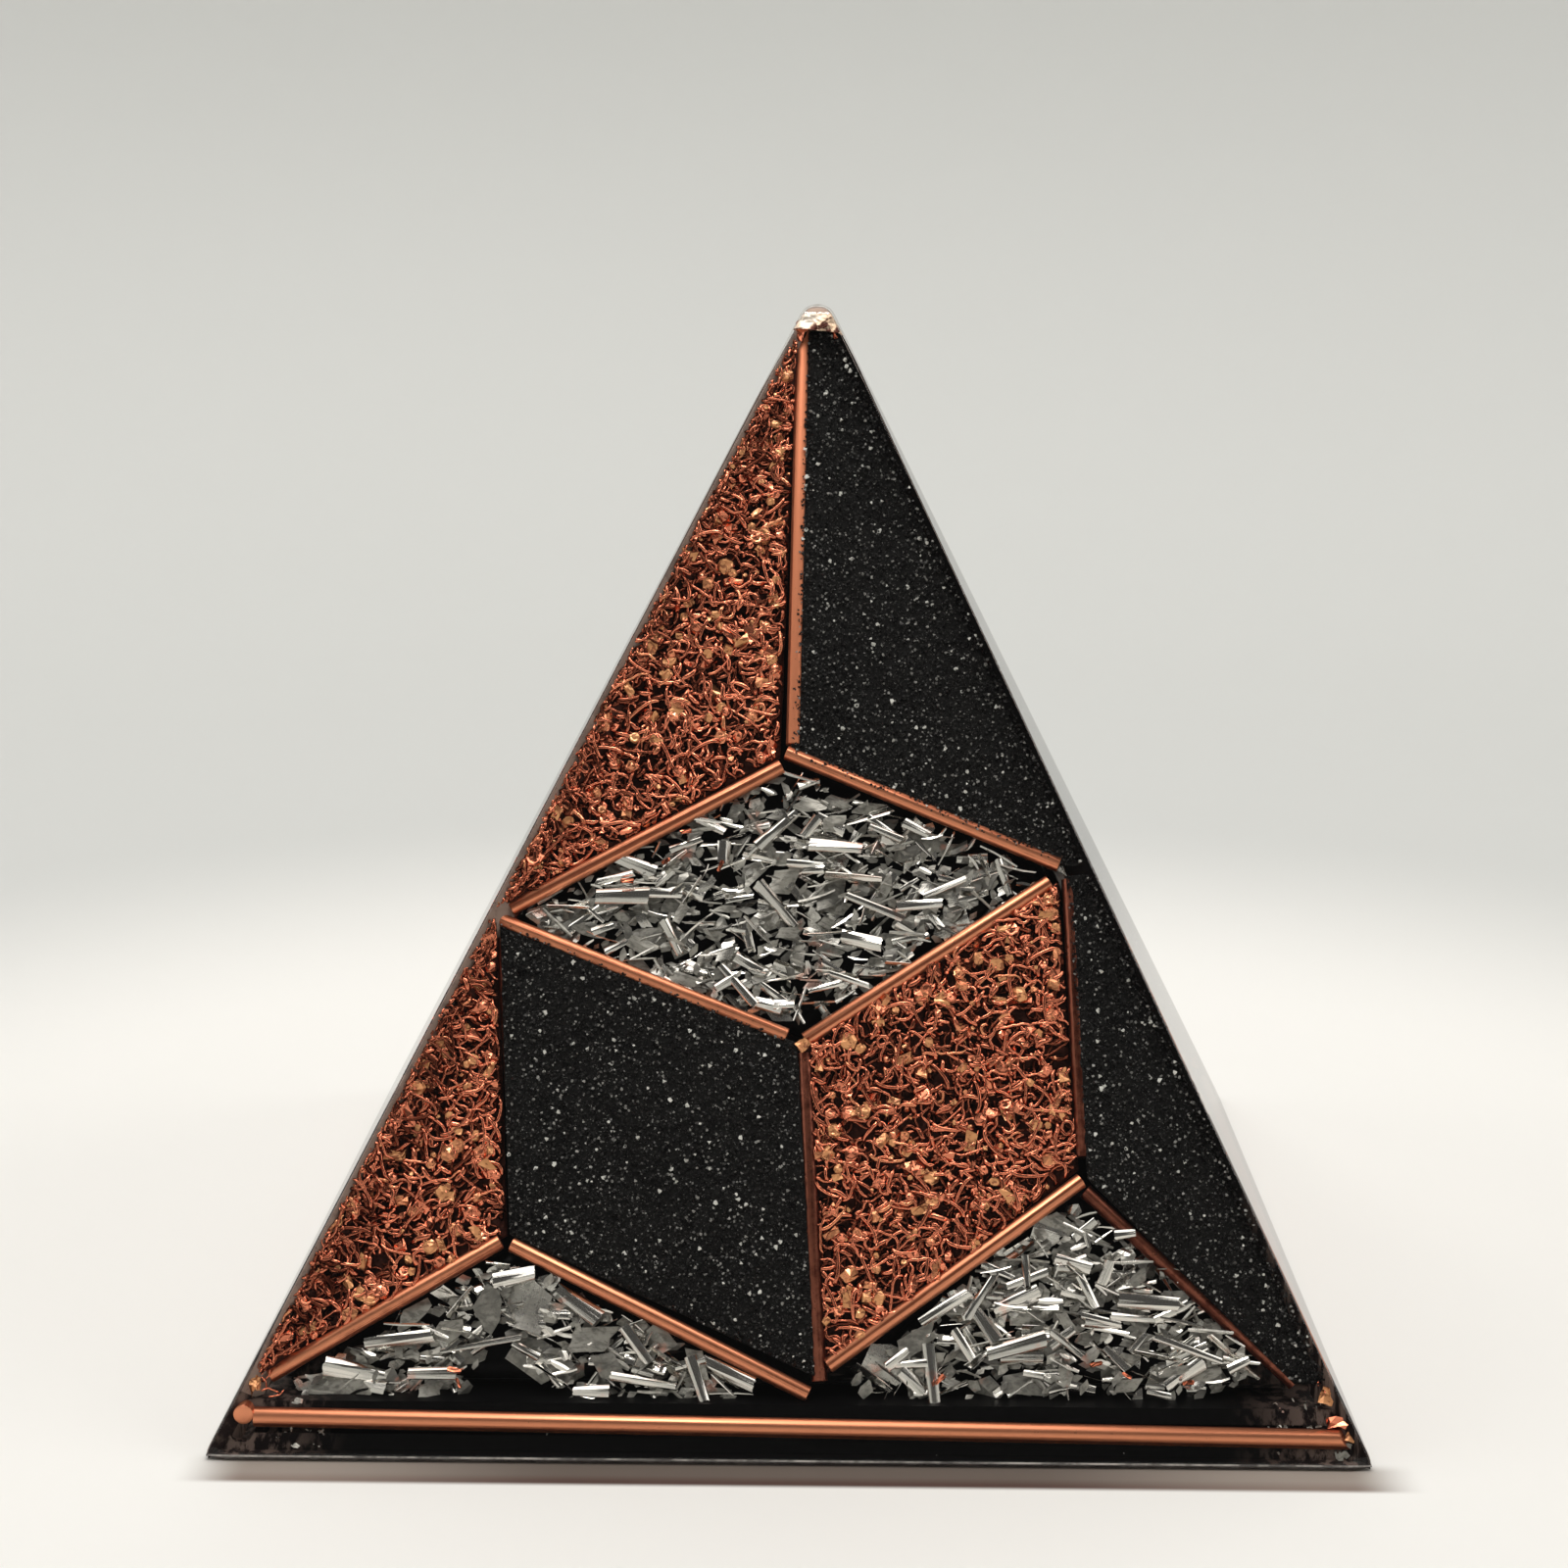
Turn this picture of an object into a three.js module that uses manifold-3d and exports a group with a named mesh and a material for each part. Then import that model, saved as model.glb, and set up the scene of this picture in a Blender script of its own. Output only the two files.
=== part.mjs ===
// Resin pyramid with metal fillings, standing on its square base.
// Millimetres, +Z up. The origin is the centre of the base, on the surface it stands on.
// A clear outer layer surrounds a black casting. Under each of the four sloping sides lie
// nine beds of loose filling, parted by straight copper rods that draw a cube seen from its corner.

import * as THREE from 'three';
import { ConvexGeometry } from 'three/addons/geometries/ConvexGeometry.js';
import { mergeVertices } from 'three/addons/utils/BufferGeometryUtils.js';
import Module from 'manifold-3d';

const wasm = await Module();
wasm.setup();

// Outer form of the casting
const base_width = 110;
const height = 107.2;
const apex_lean = 2.2;
const tip_radius = 1.6;
const arris_radius = 1.2;
const foot_radius = 0.5;

// Layers below each side, measured square to the side
const skin_thickness = 1.0;
const bed_thickness = 3.2;
const clearance = 0.3;
const arris_gap = 0.9;

// Height of the metal leaf in the tip
const leaf_height = 2.25;

// Levels above the surface it stands on
const base_rod_level = 2.2;
const pour_top = 4.6;

// Copper wire
const face_rod_diameter = 1.38;
const base_rod_diameter = 1.78;
const weld_bead_margin = 0.16;

// Cuts run past the solids that they cut by this much
const overrun = 1.0;

// Steps of the round forms
const corner_steps = 4;
const dome_steps = 4;
const foot_steps = 2;
const rod_sides = 16;
const frame_rod_sides = 10;
const bead_sides = 10;

// The largest part of a ring's half width that its corner rounding may take
const rounding_share = 0.92;

// Knots of the wire pattern on a side. The first share runs along the foot, from -1 at the left corner
// to 1 at the right corner, and the second runs from the foot to the apex.
const knot_shares = {
  summit: [-0.026, 0.94],
  crown: [-0.038, 0.573],
  left: [-0.523, 0.438],
  right: [0.469, 0.478],
  heart: [0.006, 0.337],
  low_left: [-0.498, 0.174],
  low_right: [0.507, 0.231],
  foot: [0.055, 0.066],
  corner_left: [-0.87, 0.0747],
  corner_right: [0.855, 0.0744],
};

// Each wire runs between two knots
const wires = {
  top: ['summit', 'crown'],
  upper_left: ['crown', 'left'],
  upper_right: ['crown', 'right'],
  diamond_left: ['left', 'heart'],
  diamond_right: ['heart', 'right'],
  middle: ['heart', 'foot'],
  left: ['left', 'low_left'],
  right: ['right', 'low_right'],
  lower_left: ['low_left', 'foot'],
  lower_right: ['low_right', 'foot'],
  corner_left: ['low_left', 'corner_left'],
  corner_right: ['low_right', 'corner_right'],
};

// Colours, roughness and metalness
const looks = {
  resin: { color: 0xd9dce0, roughness: 0.05, metalness: 0.0, transparent: true, opacity: 0.25 },
  black: { color: 0x0c0c0d, roughness: 0.2, metalness: 0.0 },
  leaf: { color: 0xc98f6b, roughness: 0.3, metalness: 1.0 },
  wire: { color: 0xc9774a, roughness: 0.28, metalness: 1.0 },
  granules: { color: 0xb0603a, roughness: 0.45, metalness: 0.9 },
  sand: { color: 0x17171a, roughness: 0.7, metalness: 0.1 },
  shavings: { color: 0xa9a8a4, roughness: 0.4, metalness: 0.9 },
};

// Beds of filling on a side. The wires that border a bed run anticlockwise seen from outside. Where no wire
// lies between two beds, a parting line through a knot does: level for above and below, and straight up the
// side for left_of and right_of.
const beds = {
  granules_upper_left: {
    look: 'granules',
    arris: 'left',
    wires: [['left', 'crown'], ['crown', 'summit']],
    above: 'left',
  },
  sand_upper_right: {
    look: 'sand',
    arris: 'right',
    wires: [['summit', 'crown'], ['crown', 'right']],
    above: 'right',
  },
  shavings_diamond: {
    look: 'shavings',
    wires: [['crown', 'left'], ['left', 'heart'], ['heart', 'right'], ['right', 'crown']],
  },
  sand_cube_left: {
    look: 'sand',
    wires: [['left', 'low_left'], ['low_left', 'foot'], ['foot', 'heart'], ['heart', 'left']],
  },
  granules_cube_right: {
    look: 'granules',
    wires: [['heart', 'foot'], ['foot', 'low_right'], ['low_right', 'right'], ['right', 'heart']],
  },
  granules_left: {
    look: 'granules',
    arris: 'left',
    wires: [['corner_left', 'low_left'], ['low_left', 'left']],
    below: 'left',
  },
  sand_right: {
    look: 'sand',
    arris: 'right',
    wires: [['right', 'low_right'], ['low_right', 'corner_right']],
    below: 'right',
  },
  shavings_lower_left: {
    look: 'shavings',
    wires: [['foot', 'low_left'], ['low_left', 'corner_left']],
    left_of: 'foot',
  },
  shavings_lower_right: {
    look: 'shavings',
    wires: [['corner_right', 'low_right'], ['low_right', 'foot']],
    right_of: 'foot',
  },
};

// The apex and the four sides
const half = base_width / 2;
const apex = new THREE.Vector3(apex_lean, 0, height);
const corners = [[-half, -half], [half, -half], [half, half], [-half, half]];
const side_names = ['front', 'right', 'back', 'left'];

const sides = side_names.map((name, index) => {
  const start = new THREE.Vector3(...corners[index], 0);
  const end = new THREE.Vector3(...corners[(index + 1) % corners.length], 0);
  const middle = start.clone().add(end).divideScalar(2);
  const along = end.clone().sub(start).normalize();
  const rise = apex.clone().sub(middle);
  const normal = along.clone().cross(rise).normalize();
  return { name, middle, along, rise, normal };
});

// A point at a depth below a side, from its two shares
function place(side, [across_share, up_share], depth) {
  const point = side.middle.clone();
  point.addScaledVector(side.along, across_share * half);
  point.addScaledVector(side.rise, up_share);
  return point.addScaledVector(side.normal, -depth);
}

// Half spaces, each kept where normal . point <= offset
function outside_of(side, depth) {
  return { normal: side.normal.clone(), offset: side.normal.dot(apex) - depth };
}

function inside_of(side, depth) {
  return { normal: side.normal.clone().negate(), offset: depth - side.normal.dot(apex) };
}

function above_level(level) {
  return { normal: new THREE.Vector3(0, 0, -1), offset: -level };
}

function below_level(level) {
  return { normal: new THREE.Vector3(0, 0, 1), offset: level };
}

function mitre(side, neighbour, gap) {
  const normal = neighbour.normal.clone().sub(side.normal).normalize();
  return { normal, offset: normal.dot(apex) - gap };
}

function left_of_line(side, from, to, inset) {
  const normal = to.clone().sub(from).cross(side.normal).normalize();
  return { normal, offset: normal.dot(from) - inset };
}

// The convex solid that all the half spaces share
function solid_between(spaces) {
  const tolerance = 1e-7 * height;
  const points = [];
  const matrix = new THREE.Matrix3();
  for (let i = 0; i < spaces.length; i += 1) {
    for (let j = i + 1; j < spaces.length; j += 1) {
      for (let k = j + 1; k < spaces.length; k += 1) {
        const [a, b, c] = [spaces[i].normal, spaces[j].normal, spaces[k].normal];
        matrix.set(a.x, a.y, a.z, b.x, b.y, b.z, c.x, c.y, c.z);
        if (Math.abs(matrix.determinant()) < 1e-6) continue;
        const point = new THREE.Vector3(spaces[i].offset, spaces[j].offset, spaces[k].offset);
        point.applyMatrix3(matrix.clone().invert());
        const kept = spaces.every((space) => space.normal.dot(point) <= space.offset + tolerance);
        const known = points.some((other) => other.distanceTo(point) < tolerance * 10);
        if (kept && !known) points.push(point);
      }
    }
  }
  return new ConvexGeometry(points);
}

// Solids for joining and cutting
function to_solid(geometry) {
  const bare = geometry.clone();
  for (const name of Object.keys(bare.attributes)) {
    if (name !== 'position') bare.deleteAttribute(name);
  }
  const merged = mergeVertices(bare, 1e-6 * height);
  const mesh = new wasm.Mesh({
    numProp: 3,
    vertProperties: new Float32Array(merged.attributes.position.array),
    triVerts: new Uint32Array(merged.index.array),
  });
  return new wasm.Manifold(mesh);
}

function to_geometry(solid) {
  const mesh = solid.getMesh();
  const geometry = new THREE.BufferGeometry();
  geometry.setAttribute('position', new THREE.BufferAttribute(new Float32Array(mesh.vertProperties), 3));
  geometry.setIndex(new THREE.BufferAttribute(new Uint32Array(mesh.triVerts), 1));
  geometry.computeVertexNormals();
  return geometry;
}

// A closed form through level rings of equal count, from the lowest to the highest
function loft(rings, top_point) {
  const count = rings[0].length;
  const positions = [];
  const indices = [];
  for (const ring of rings) {
    for (const point of ring) positions.push(point.x, point.y, point.z);
  }
  const foot = rings[0][0].clone();
  foot.set(0, 0, foot.z);
  positions.push(foot.x, foot.y, foot.z, top_point.x, top_point.y, top_point.z);
  const foot_index = rings.length * count;
  const top_index = foot_index + 1;
  const last = (rings.length - 1) * count;
  for (let step = 0; step < count; step += 1) {
    const next = (step + 1) % count;
    indices.push(foot_index, next, step);
    indices.push(top_index, last + step, last + next);
    for (let level = 0; level < rings.length - 1; level += 1) {
      const low = level * count;
      const high = low + count;
      indices.push(low + step, low + next, high + next);
      indices.push(low + step, high + next, high + step);
    }
  }
  const geometry = new THREE.BufferGeometry();
  geometry.setAttribute('position', new THREE.Float32BufferAttribute(positions, 3));
  geometry.setIndex(indices);
  return geometry;
}

// A level square ring with rounded corners, centred on the leaning axis
function rounded_ring(level, half_width) {
  const radius = Math.min(arris_radius, half_width * rounding_share);
  const centre_x = apex_lean * level / height;
  const ring = [];
  for (let corner = 0; corner < corners.length; corner += 1) {
    const [sign_x, sign_y] = corners[corner].map(Math.sign);
    for (let step = 0; step <= corner_steps; step += 1) {
      const angle = Math.PI + (corner + step / corner_steps) * Math.PI / 2;
      const x = centre_x + sign_x * (half_width - radius) + radius * Math.cos(angle);
      const y = sign_y * (half_width - radius) + radius * Math.sin(angle);
      ring.push(new THREE.Vector3(x, y, level));
    }
  }
  return ring;
}

// Outer form, with a rounded foot edge, rounded arrises and a domed tip
function outer_form() {
  const slope = Math.atan2(half, height);
  const dome_centre = height - tip_radius / Math.sin(slope);
  const rings = [];
  for (let step = 0; step <= foot_steps; step += 1) {
    const turn = step / foot_steps * Math.PI / 2;
    const level = foot_radius * (1 - Math.cos(turn));
    const inset = foot_radius * (1 - Math.sin(turn));
    rings.push(rounded_ring(level, half * (1 - level / height) - inset));
  }
  for (let step = 0; step < dome_steps; step += 1) {
    const turn = slope + step / dome_steps * (Math.PI / 2 - slope);
    const level = dome_centre + tip_radius * Math.sin(turn);
    rings.push(rounded_ring(level, tip_radius * Math.cos(turn)));
  }
  const top_level = dome_centre + tip_radius;
  return loft(rings, new THREE.Vector3(apex_lean * top_level / height, 0, top_level));
}

// A straight round rod between two points
function rod_mesh(from, to, diameter, side_count) {
  const length = from.distanceTo(to);
  const mesh = new THREE.Mesh(new THREE.CylinderGeometry(diameter / 2, diameter / 2, length, side_count));
  mesh.position.copy(from).add(to).divideScalar(2);
  const direction = to.clone().sub(from).normalize();
  mesh.quaternion.setFromUnitVectors(new THREE.Vector3(0, 1, 0), direction);
  return mesh;
}

function finish(mesh, name, look) {
  mesh.name = name;
  mesh.material = new THREE.MeshStandardMaterial(looks[look]);
  return mesh;
}

// Depths below a side
const bed_front_depth = skin_thickness + clearance;
const bed_back_depth = bed_front_depth + bed_thickness;
const core_depth = bed_back_depth + clearance;
const face_rod_depth = bed_front_depth + face_rod_diameter / 2;
const base_rod_depth = bed_front_depth + base_rod_diameter / 2;
const bed_foot = pour_top + clearance;
const rod_inset = face_rod_diameter / 2 + clearance;
const weld_bead_radius = face_rod_diameter / 2 + weld_bead_margin;
const leaf_foot = height - bed_front_depth / sides[0].normal.z - leaf_height;

const pyramid = new THREE.Group();

// Clear outer layer, open below
const cavity = solid_between([...sides.map((side) => outside_of(side, skin_thickness)), above_level(-overrun)]);
const skin = to_geometry(to_solid(outer_form()).subtract(to_solid(cavity)));
pyramid.add(finish(new THREE.Mesh(skin), 'clear_resin_skin', 'resin'));

// Where the base rods lie: each reaches into its right corner and stops short of its left neighbour
function base_rod_ends(index) {
  const side = sides[index];
  const neighbour = sides[(index + 1) % sides.length];
  const previous = sides[(index + sides.length - 1) % sides.length];
  const up_share = (base_rod_level + side.normal.z * base_rod_depth) / height;
  const line_start = place(side, [0, up_share], base_rod_depth);
  const tilt_room = base_rod_diameter / 2 * side.normal.z;
  const reach_to = (other, depth) => {
    const distance = other.normal.dot(apex) - depth - other.normal.dot(line_start);
    return line_start.clone().addScaledVector(side.along, distance / other.normal.dot(side.along));
  };
  const end = reach_to(neighbour, bed_front_depth + tilt_room);
  const start = reach_to(previous, base_rod_depth);
  start.addScaledVector(side.along, base_rod_diameter / 2 + clearance);
  return [start, end];
}

// Black pour with grooves for the base rods
const pour_spaces = sides.map((side) => outside_of(side, bed_front_depth));
let pour = to_solid(solid_between([...pour_spaces, above_level(0), below_level(pour_top)]));
for (let index = 0; index < sides.length; index += 1) {
  const [start, end] = base_rod_ends(index);
  const along = end.clone().sub(start).normalize();
  const groove_start = start.clone().addScaledVector(along, -clearance);
  const groove_end = end.clone().addScaledVector(along, overrun);
  const groove = rod_mesh(groove_start, groove_end, base_rod_diameter + 2 * clearance, rod_sides);
  groove.updateMatrixWorld(true);
  pour = pour.subtract(to_solid(groove.geometry.clone().applyMatrix4(groove.matrixWorld)));
  const rod = rod_mesh(start, end, base_rod_diameter, rod_sides);
  pyramid.add(finish(rod, `base_rod_${sides[index].name}`, 'wire'));
}
pyramid.add(finish(new THREE.Mesh(to_geometry(pour)), 'black_base_pour', 'black'));

// Black core behind the beds, and the metal leaf in the tip
const core = solid_between([...sides.map((side) => outside_of(side, core_depth)), above_level(bed_foot)]);
pyramid.add(finish(new THREE.Mesh(core), 'black_core', 'black'));
const leaf = solid_between([...sides.map((side) => outside_of(side, bed_front_depth)), above_level(leaf_foot)]);
pyramid.add(finish(new THREE.Mesh(leaf), 'tip_leaf', 'leaf'));

// One bed of filling
function bed_geometry(index, bed) {
  const side = sides[index];
  const spaces = [outside_of(side, bed_front_depth), inside_of(side, bed_back_depth), above_level(bed_foot)];
  spaces.push(below_level(leaf_foot - clearance));
  if (bed.arris === 'left') spaces.push(mitre(side, sides[(index + sides.length - 1) % sides.length], arris_gap));
  if (bed.arris === 'right') spaces.push(mitre(side, sides[(index + 1) % sides.length], arris_gap));
  for (const [from, to] of bed.wires) {
    spaces.push(left_of_line(side, place(side, knot_shares[from], 0), place(side, knot_shares[to], 0), rod_inset));
  }
  const partings = { above: side.along, right_of: side.rise.clone().negate() };
  partings.below = partings.above.clone().negate();
  partings.left_of = partings.right_of.clone().negate();
  for (const [relation, direction] of Object.entries(partings)) {
    if (!bed[relation]) continue;
    const from = place(side, knot_shares[bed[relation]], 0);
    spaces.push(left_of_line(side, from, from.clone().add(direction), clearance / 2));
  }
  return solid_between(spaces);
}

// How far a front rod stays back from a knot, so that it clears the nearest other rod there
function trim_at(wire_name, knot) {
  const side = sides[0];
  const origin = place(side, knot_shares[knot], 0);
  const away = (name) => {
    const other = wires[name].find((end) => end !== knot);
    return place(side, knot_shares[other], 0).sub(origin).normalize();
  };
  const others = Object.keys(wires).filter((name) => name !== wire_name && wires[name].includes(knot));
  if (others.length === 0) return 0;
  const nearest = Math.min(...others.map((name) => away(name).angleTo(away(wire_name))));
  return (face_rod_diameter + clearance) / 2 / Math.tan(nearest / 2);
}

for (let index = 0; index < sides.length; index += 1) {
  const side = sides[index];
  const panel = new THREE.Group();
  for (const [bed_name, bed] of Object.entries(beds)) {
    panel.add(finish(new THREE.Mesh(bed_geometry(index, bed)), `${side.name}_${bed_name}`, bed.look));
  }
  let frame = null;
  for (const [wire_name, [from_knot, to_knot]] of Object.entries(wires)) {
    const from = place(side, knot_shares[from_knot], face_rod_depth);
    const to = place(side, knot_shares[to_knot], face_rod_depth);
    if (side.name === 'front') {
      const direction = to.clone().sub(from).normalize();
      from.addScaledVector(direction, trim_at(wire_name, from_knot));
      to.addScaledVector(direction, -trim_at(wire_name, to_knot));
      panel.add(finish(rod_mesh(from, to, face_rod_diameter, rod_sides), `front_rod_${wire_name}`, 'wire'));
    } else {
      const rod = rod_mesh(from, to, face_rod_diameter, frame_rod_sides);
      rod.updateMatrixWorld(true);
      const solid = to_solid(rod.geometry.clone().applyMatrix4(rod.matrixWorld));
      frame = frame ? frame.add(solid) : solid;
    }
  }
  if (frame) {
    const ends = ['summit', 'corner_left', 'corner_right'];
    for (const knot of Object.keys(knot_shares).filter((name) => !ends.includes(name))) {
      const bead = new THREE.SphereGeometry(weld_bead_radius, bead_sides, bead_sides / 2);
      const centre = place(side, knot_shares[knot], face_rod_depth);
      frame = frame.add(to_solid(bead.translate(centre.x, centre.y, centre.z)));
    }
    panel.add(finish(new THREE.Mesh(to_geometry(frame)), `${side.name}_rod_frame`, 'wire'));
  }
  pyramid.add(panel);
}

export default pyramid;
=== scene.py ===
# Resin pyramid with copper granules, black sand and aluminium shavings under its four sides.
# Metres, +Z up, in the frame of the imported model. The origin is the centre of the base.

import math

import bmesh
import bpy
import numpy as np
from mathutils import Euler, Matrix, Vector


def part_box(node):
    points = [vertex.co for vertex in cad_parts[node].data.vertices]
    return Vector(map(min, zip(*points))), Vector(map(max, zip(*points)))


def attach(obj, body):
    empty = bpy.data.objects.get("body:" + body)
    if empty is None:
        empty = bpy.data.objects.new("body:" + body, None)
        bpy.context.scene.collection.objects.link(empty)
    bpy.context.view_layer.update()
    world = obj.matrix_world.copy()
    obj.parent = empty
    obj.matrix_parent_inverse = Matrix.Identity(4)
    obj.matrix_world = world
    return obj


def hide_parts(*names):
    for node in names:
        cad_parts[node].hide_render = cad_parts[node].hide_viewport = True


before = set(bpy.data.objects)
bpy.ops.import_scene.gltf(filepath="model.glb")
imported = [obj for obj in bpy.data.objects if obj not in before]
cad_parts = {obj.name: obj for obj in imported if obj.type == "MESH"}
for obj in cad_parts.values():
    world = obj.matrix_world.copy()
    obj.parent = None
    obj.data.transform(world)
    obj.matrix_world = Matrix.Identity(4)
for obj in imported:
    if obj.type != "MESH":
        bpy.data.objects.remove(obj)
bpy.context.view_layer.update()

bl_info = {
    "name": "Resin pyramid",
    "version": (1, 0, 0),
    "blender": (4, 5, 0),
    "location": "View3D > Sidebar > Pyramid",
    "description": "Dresses the resin pyramid: casting, copper rods, fillings and the stage",
    "category": "Object",
}

SKIN_LOW, SKIN_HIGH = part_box("clear_resin_skin")
LEAF_LOW, LEAF_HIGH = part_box("tip_leaf")

MM = 0.001
SQUARE_MM = MM * MM
BODY = "root"
SIDE_NAMES = ("front", "right", "back", "left")

# Knots of the wire pattern on a side. The first share runs along the foot, from -1 at the left corner to 1
# at the right corner, and the second runs from the foot to the apex.
KNOT_SHARES = {
    "summit": (-0.026, 0.962),
    "crown": (-0.038, 0.573),
    "left": (-0.547, 0.438),
    "right": (0.469, 0.478),
    "heart": (0.006, 0.337),
    "low_left": (-0.498, 0.174),
    "low_right": (0.507, 0.231),
    "foot": (0.055, 0.063),
    "corner_left": (-0.913, 0.063),
    "corner_right": (0.88, 0.063),
    "arris_left_top": (-0.04, 0.96),
    "arris_left_middle": (-0.562, 0.438),
    "arris_left_foot": (-0.937, 0.063),
    "arris_right_top": (0.04, 0.96),
    "arris_right_middle": (0.522, 0.478),
    "arris_right_foot": (0.937, 0.063),
}

# The two ends of each rod on a side, in the same shares
ROD_SHARES = {
    "top": ((-0.027, 0.968), (-0.023, 0.586)),
    "upper_left": ((-0.044, 0.567), (-0.526, 0.445)),
    "upper_right": ((-0.035, 0.579), (0.464, 0.484)),
    "diamond_left": ((-0.557, 0.437), (-0.02, 0.34)),
    "diamond_right": ((0.446, 0.469), (0.013, 0.337)),
    "middle": ((0.012, 0.326), (0.053, 0.066)),
    "left": ((-0.539, 0.42), (-0.479, 0.191)),
    "right": ((0.482, 0.472), (0.507, 0.244)),
    "lower_left": ((-0.492, 0.171), (0.034, 0.056)),
    "lower_right": ((0.504, 0.225), (0.067, 0.078)),
    "corner_left": ((-0.512, 0.173), (-0.9, 0.067)),
    "corner_right": ((0.512, 0.217), (0.872, 0.068)),
}

# Rods that end sooner on the other three sides, clear of the arris
HIDDEN_ROD_SHARES = {
    "top": ((-0.026, 0.935), (-0.023, 0.586)),
    "upper_left": ((-0.044, 0.567), (-0.5, 0.4516)),
    "diamond_left": ((-0.515, 0.4294), (-0.02, 0.34)),
    "corner_left": ((-0.512, 0.173), (-0.87, 0.0752)),
}

# The two ends of each base rod, in the shares of its side
BASE_ROD_SHARES = {
    "front": ((-0.918, 0.035), (0.96, 0.025)),
    "right": ((-0.926, 0.0315), (0.955, 0.03)),
    "back": ((-0.92, 0.034), (0.955, 0.028)),
    "left": ((-0.92, 0.033), (0.9585, 0.0409)),
}

# Base rods that lie deeper, with how much deeper in mm
BASE_ROD_SUNK = {"left": 0.22}

# Outlines of the heaps of shavings on a side, anticlockwise, in the same shares
PILE_SHARES = {
    "shavings_diamond": (
        (
            (-0.06, 0.562), (-0.50, 0.445), (-0.47, 0.43), (-0.05, 0.35), (0.04, 0.353), (0.425, 0.466),
            (0.4, 0.484), (-0.01, 0.562),
        ),
    ),
    "shavings_lower_left": (
        (
            (-0.519, 0.157), (-0.626, 0.131), (-0.773, 0.086), (-0.858, 0.061), (-0.835, 0.046),
            (-0.683, 0.046), (-0.565, 0.054), (-0.532, 0.083), (-0.476, 0.156),
        ),
        (
            (-0.523, 0.125), (-0.45, 0.078), (-0.396, 0.054), (-0.176, 0.047), (-0.072, 0.049),
            (-0.068, 0.066), (-0.284, 0.114), (-0.423, 0.148), (-0.502, 0.159),
        ),
    ),
    "shavings_lower_right": (
        (
            (0.478, 0.212), (0.377, 0.172), (0.225, 0.122), (0.105, 0.08), (0.126, 0.055), (0.328, 0.054),
            (0.462, 0.057), (0.529, 0.19),
        ),
        (
            (0.445, 0.128), (0.428, 0.06), (0.613, 0.053), (0.763, 0.06), (0.815, 0.075), (0.72, 0.132),
            (0.61, 0.178), (0.5, 0.21),
        ),
    ),
}

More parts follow.
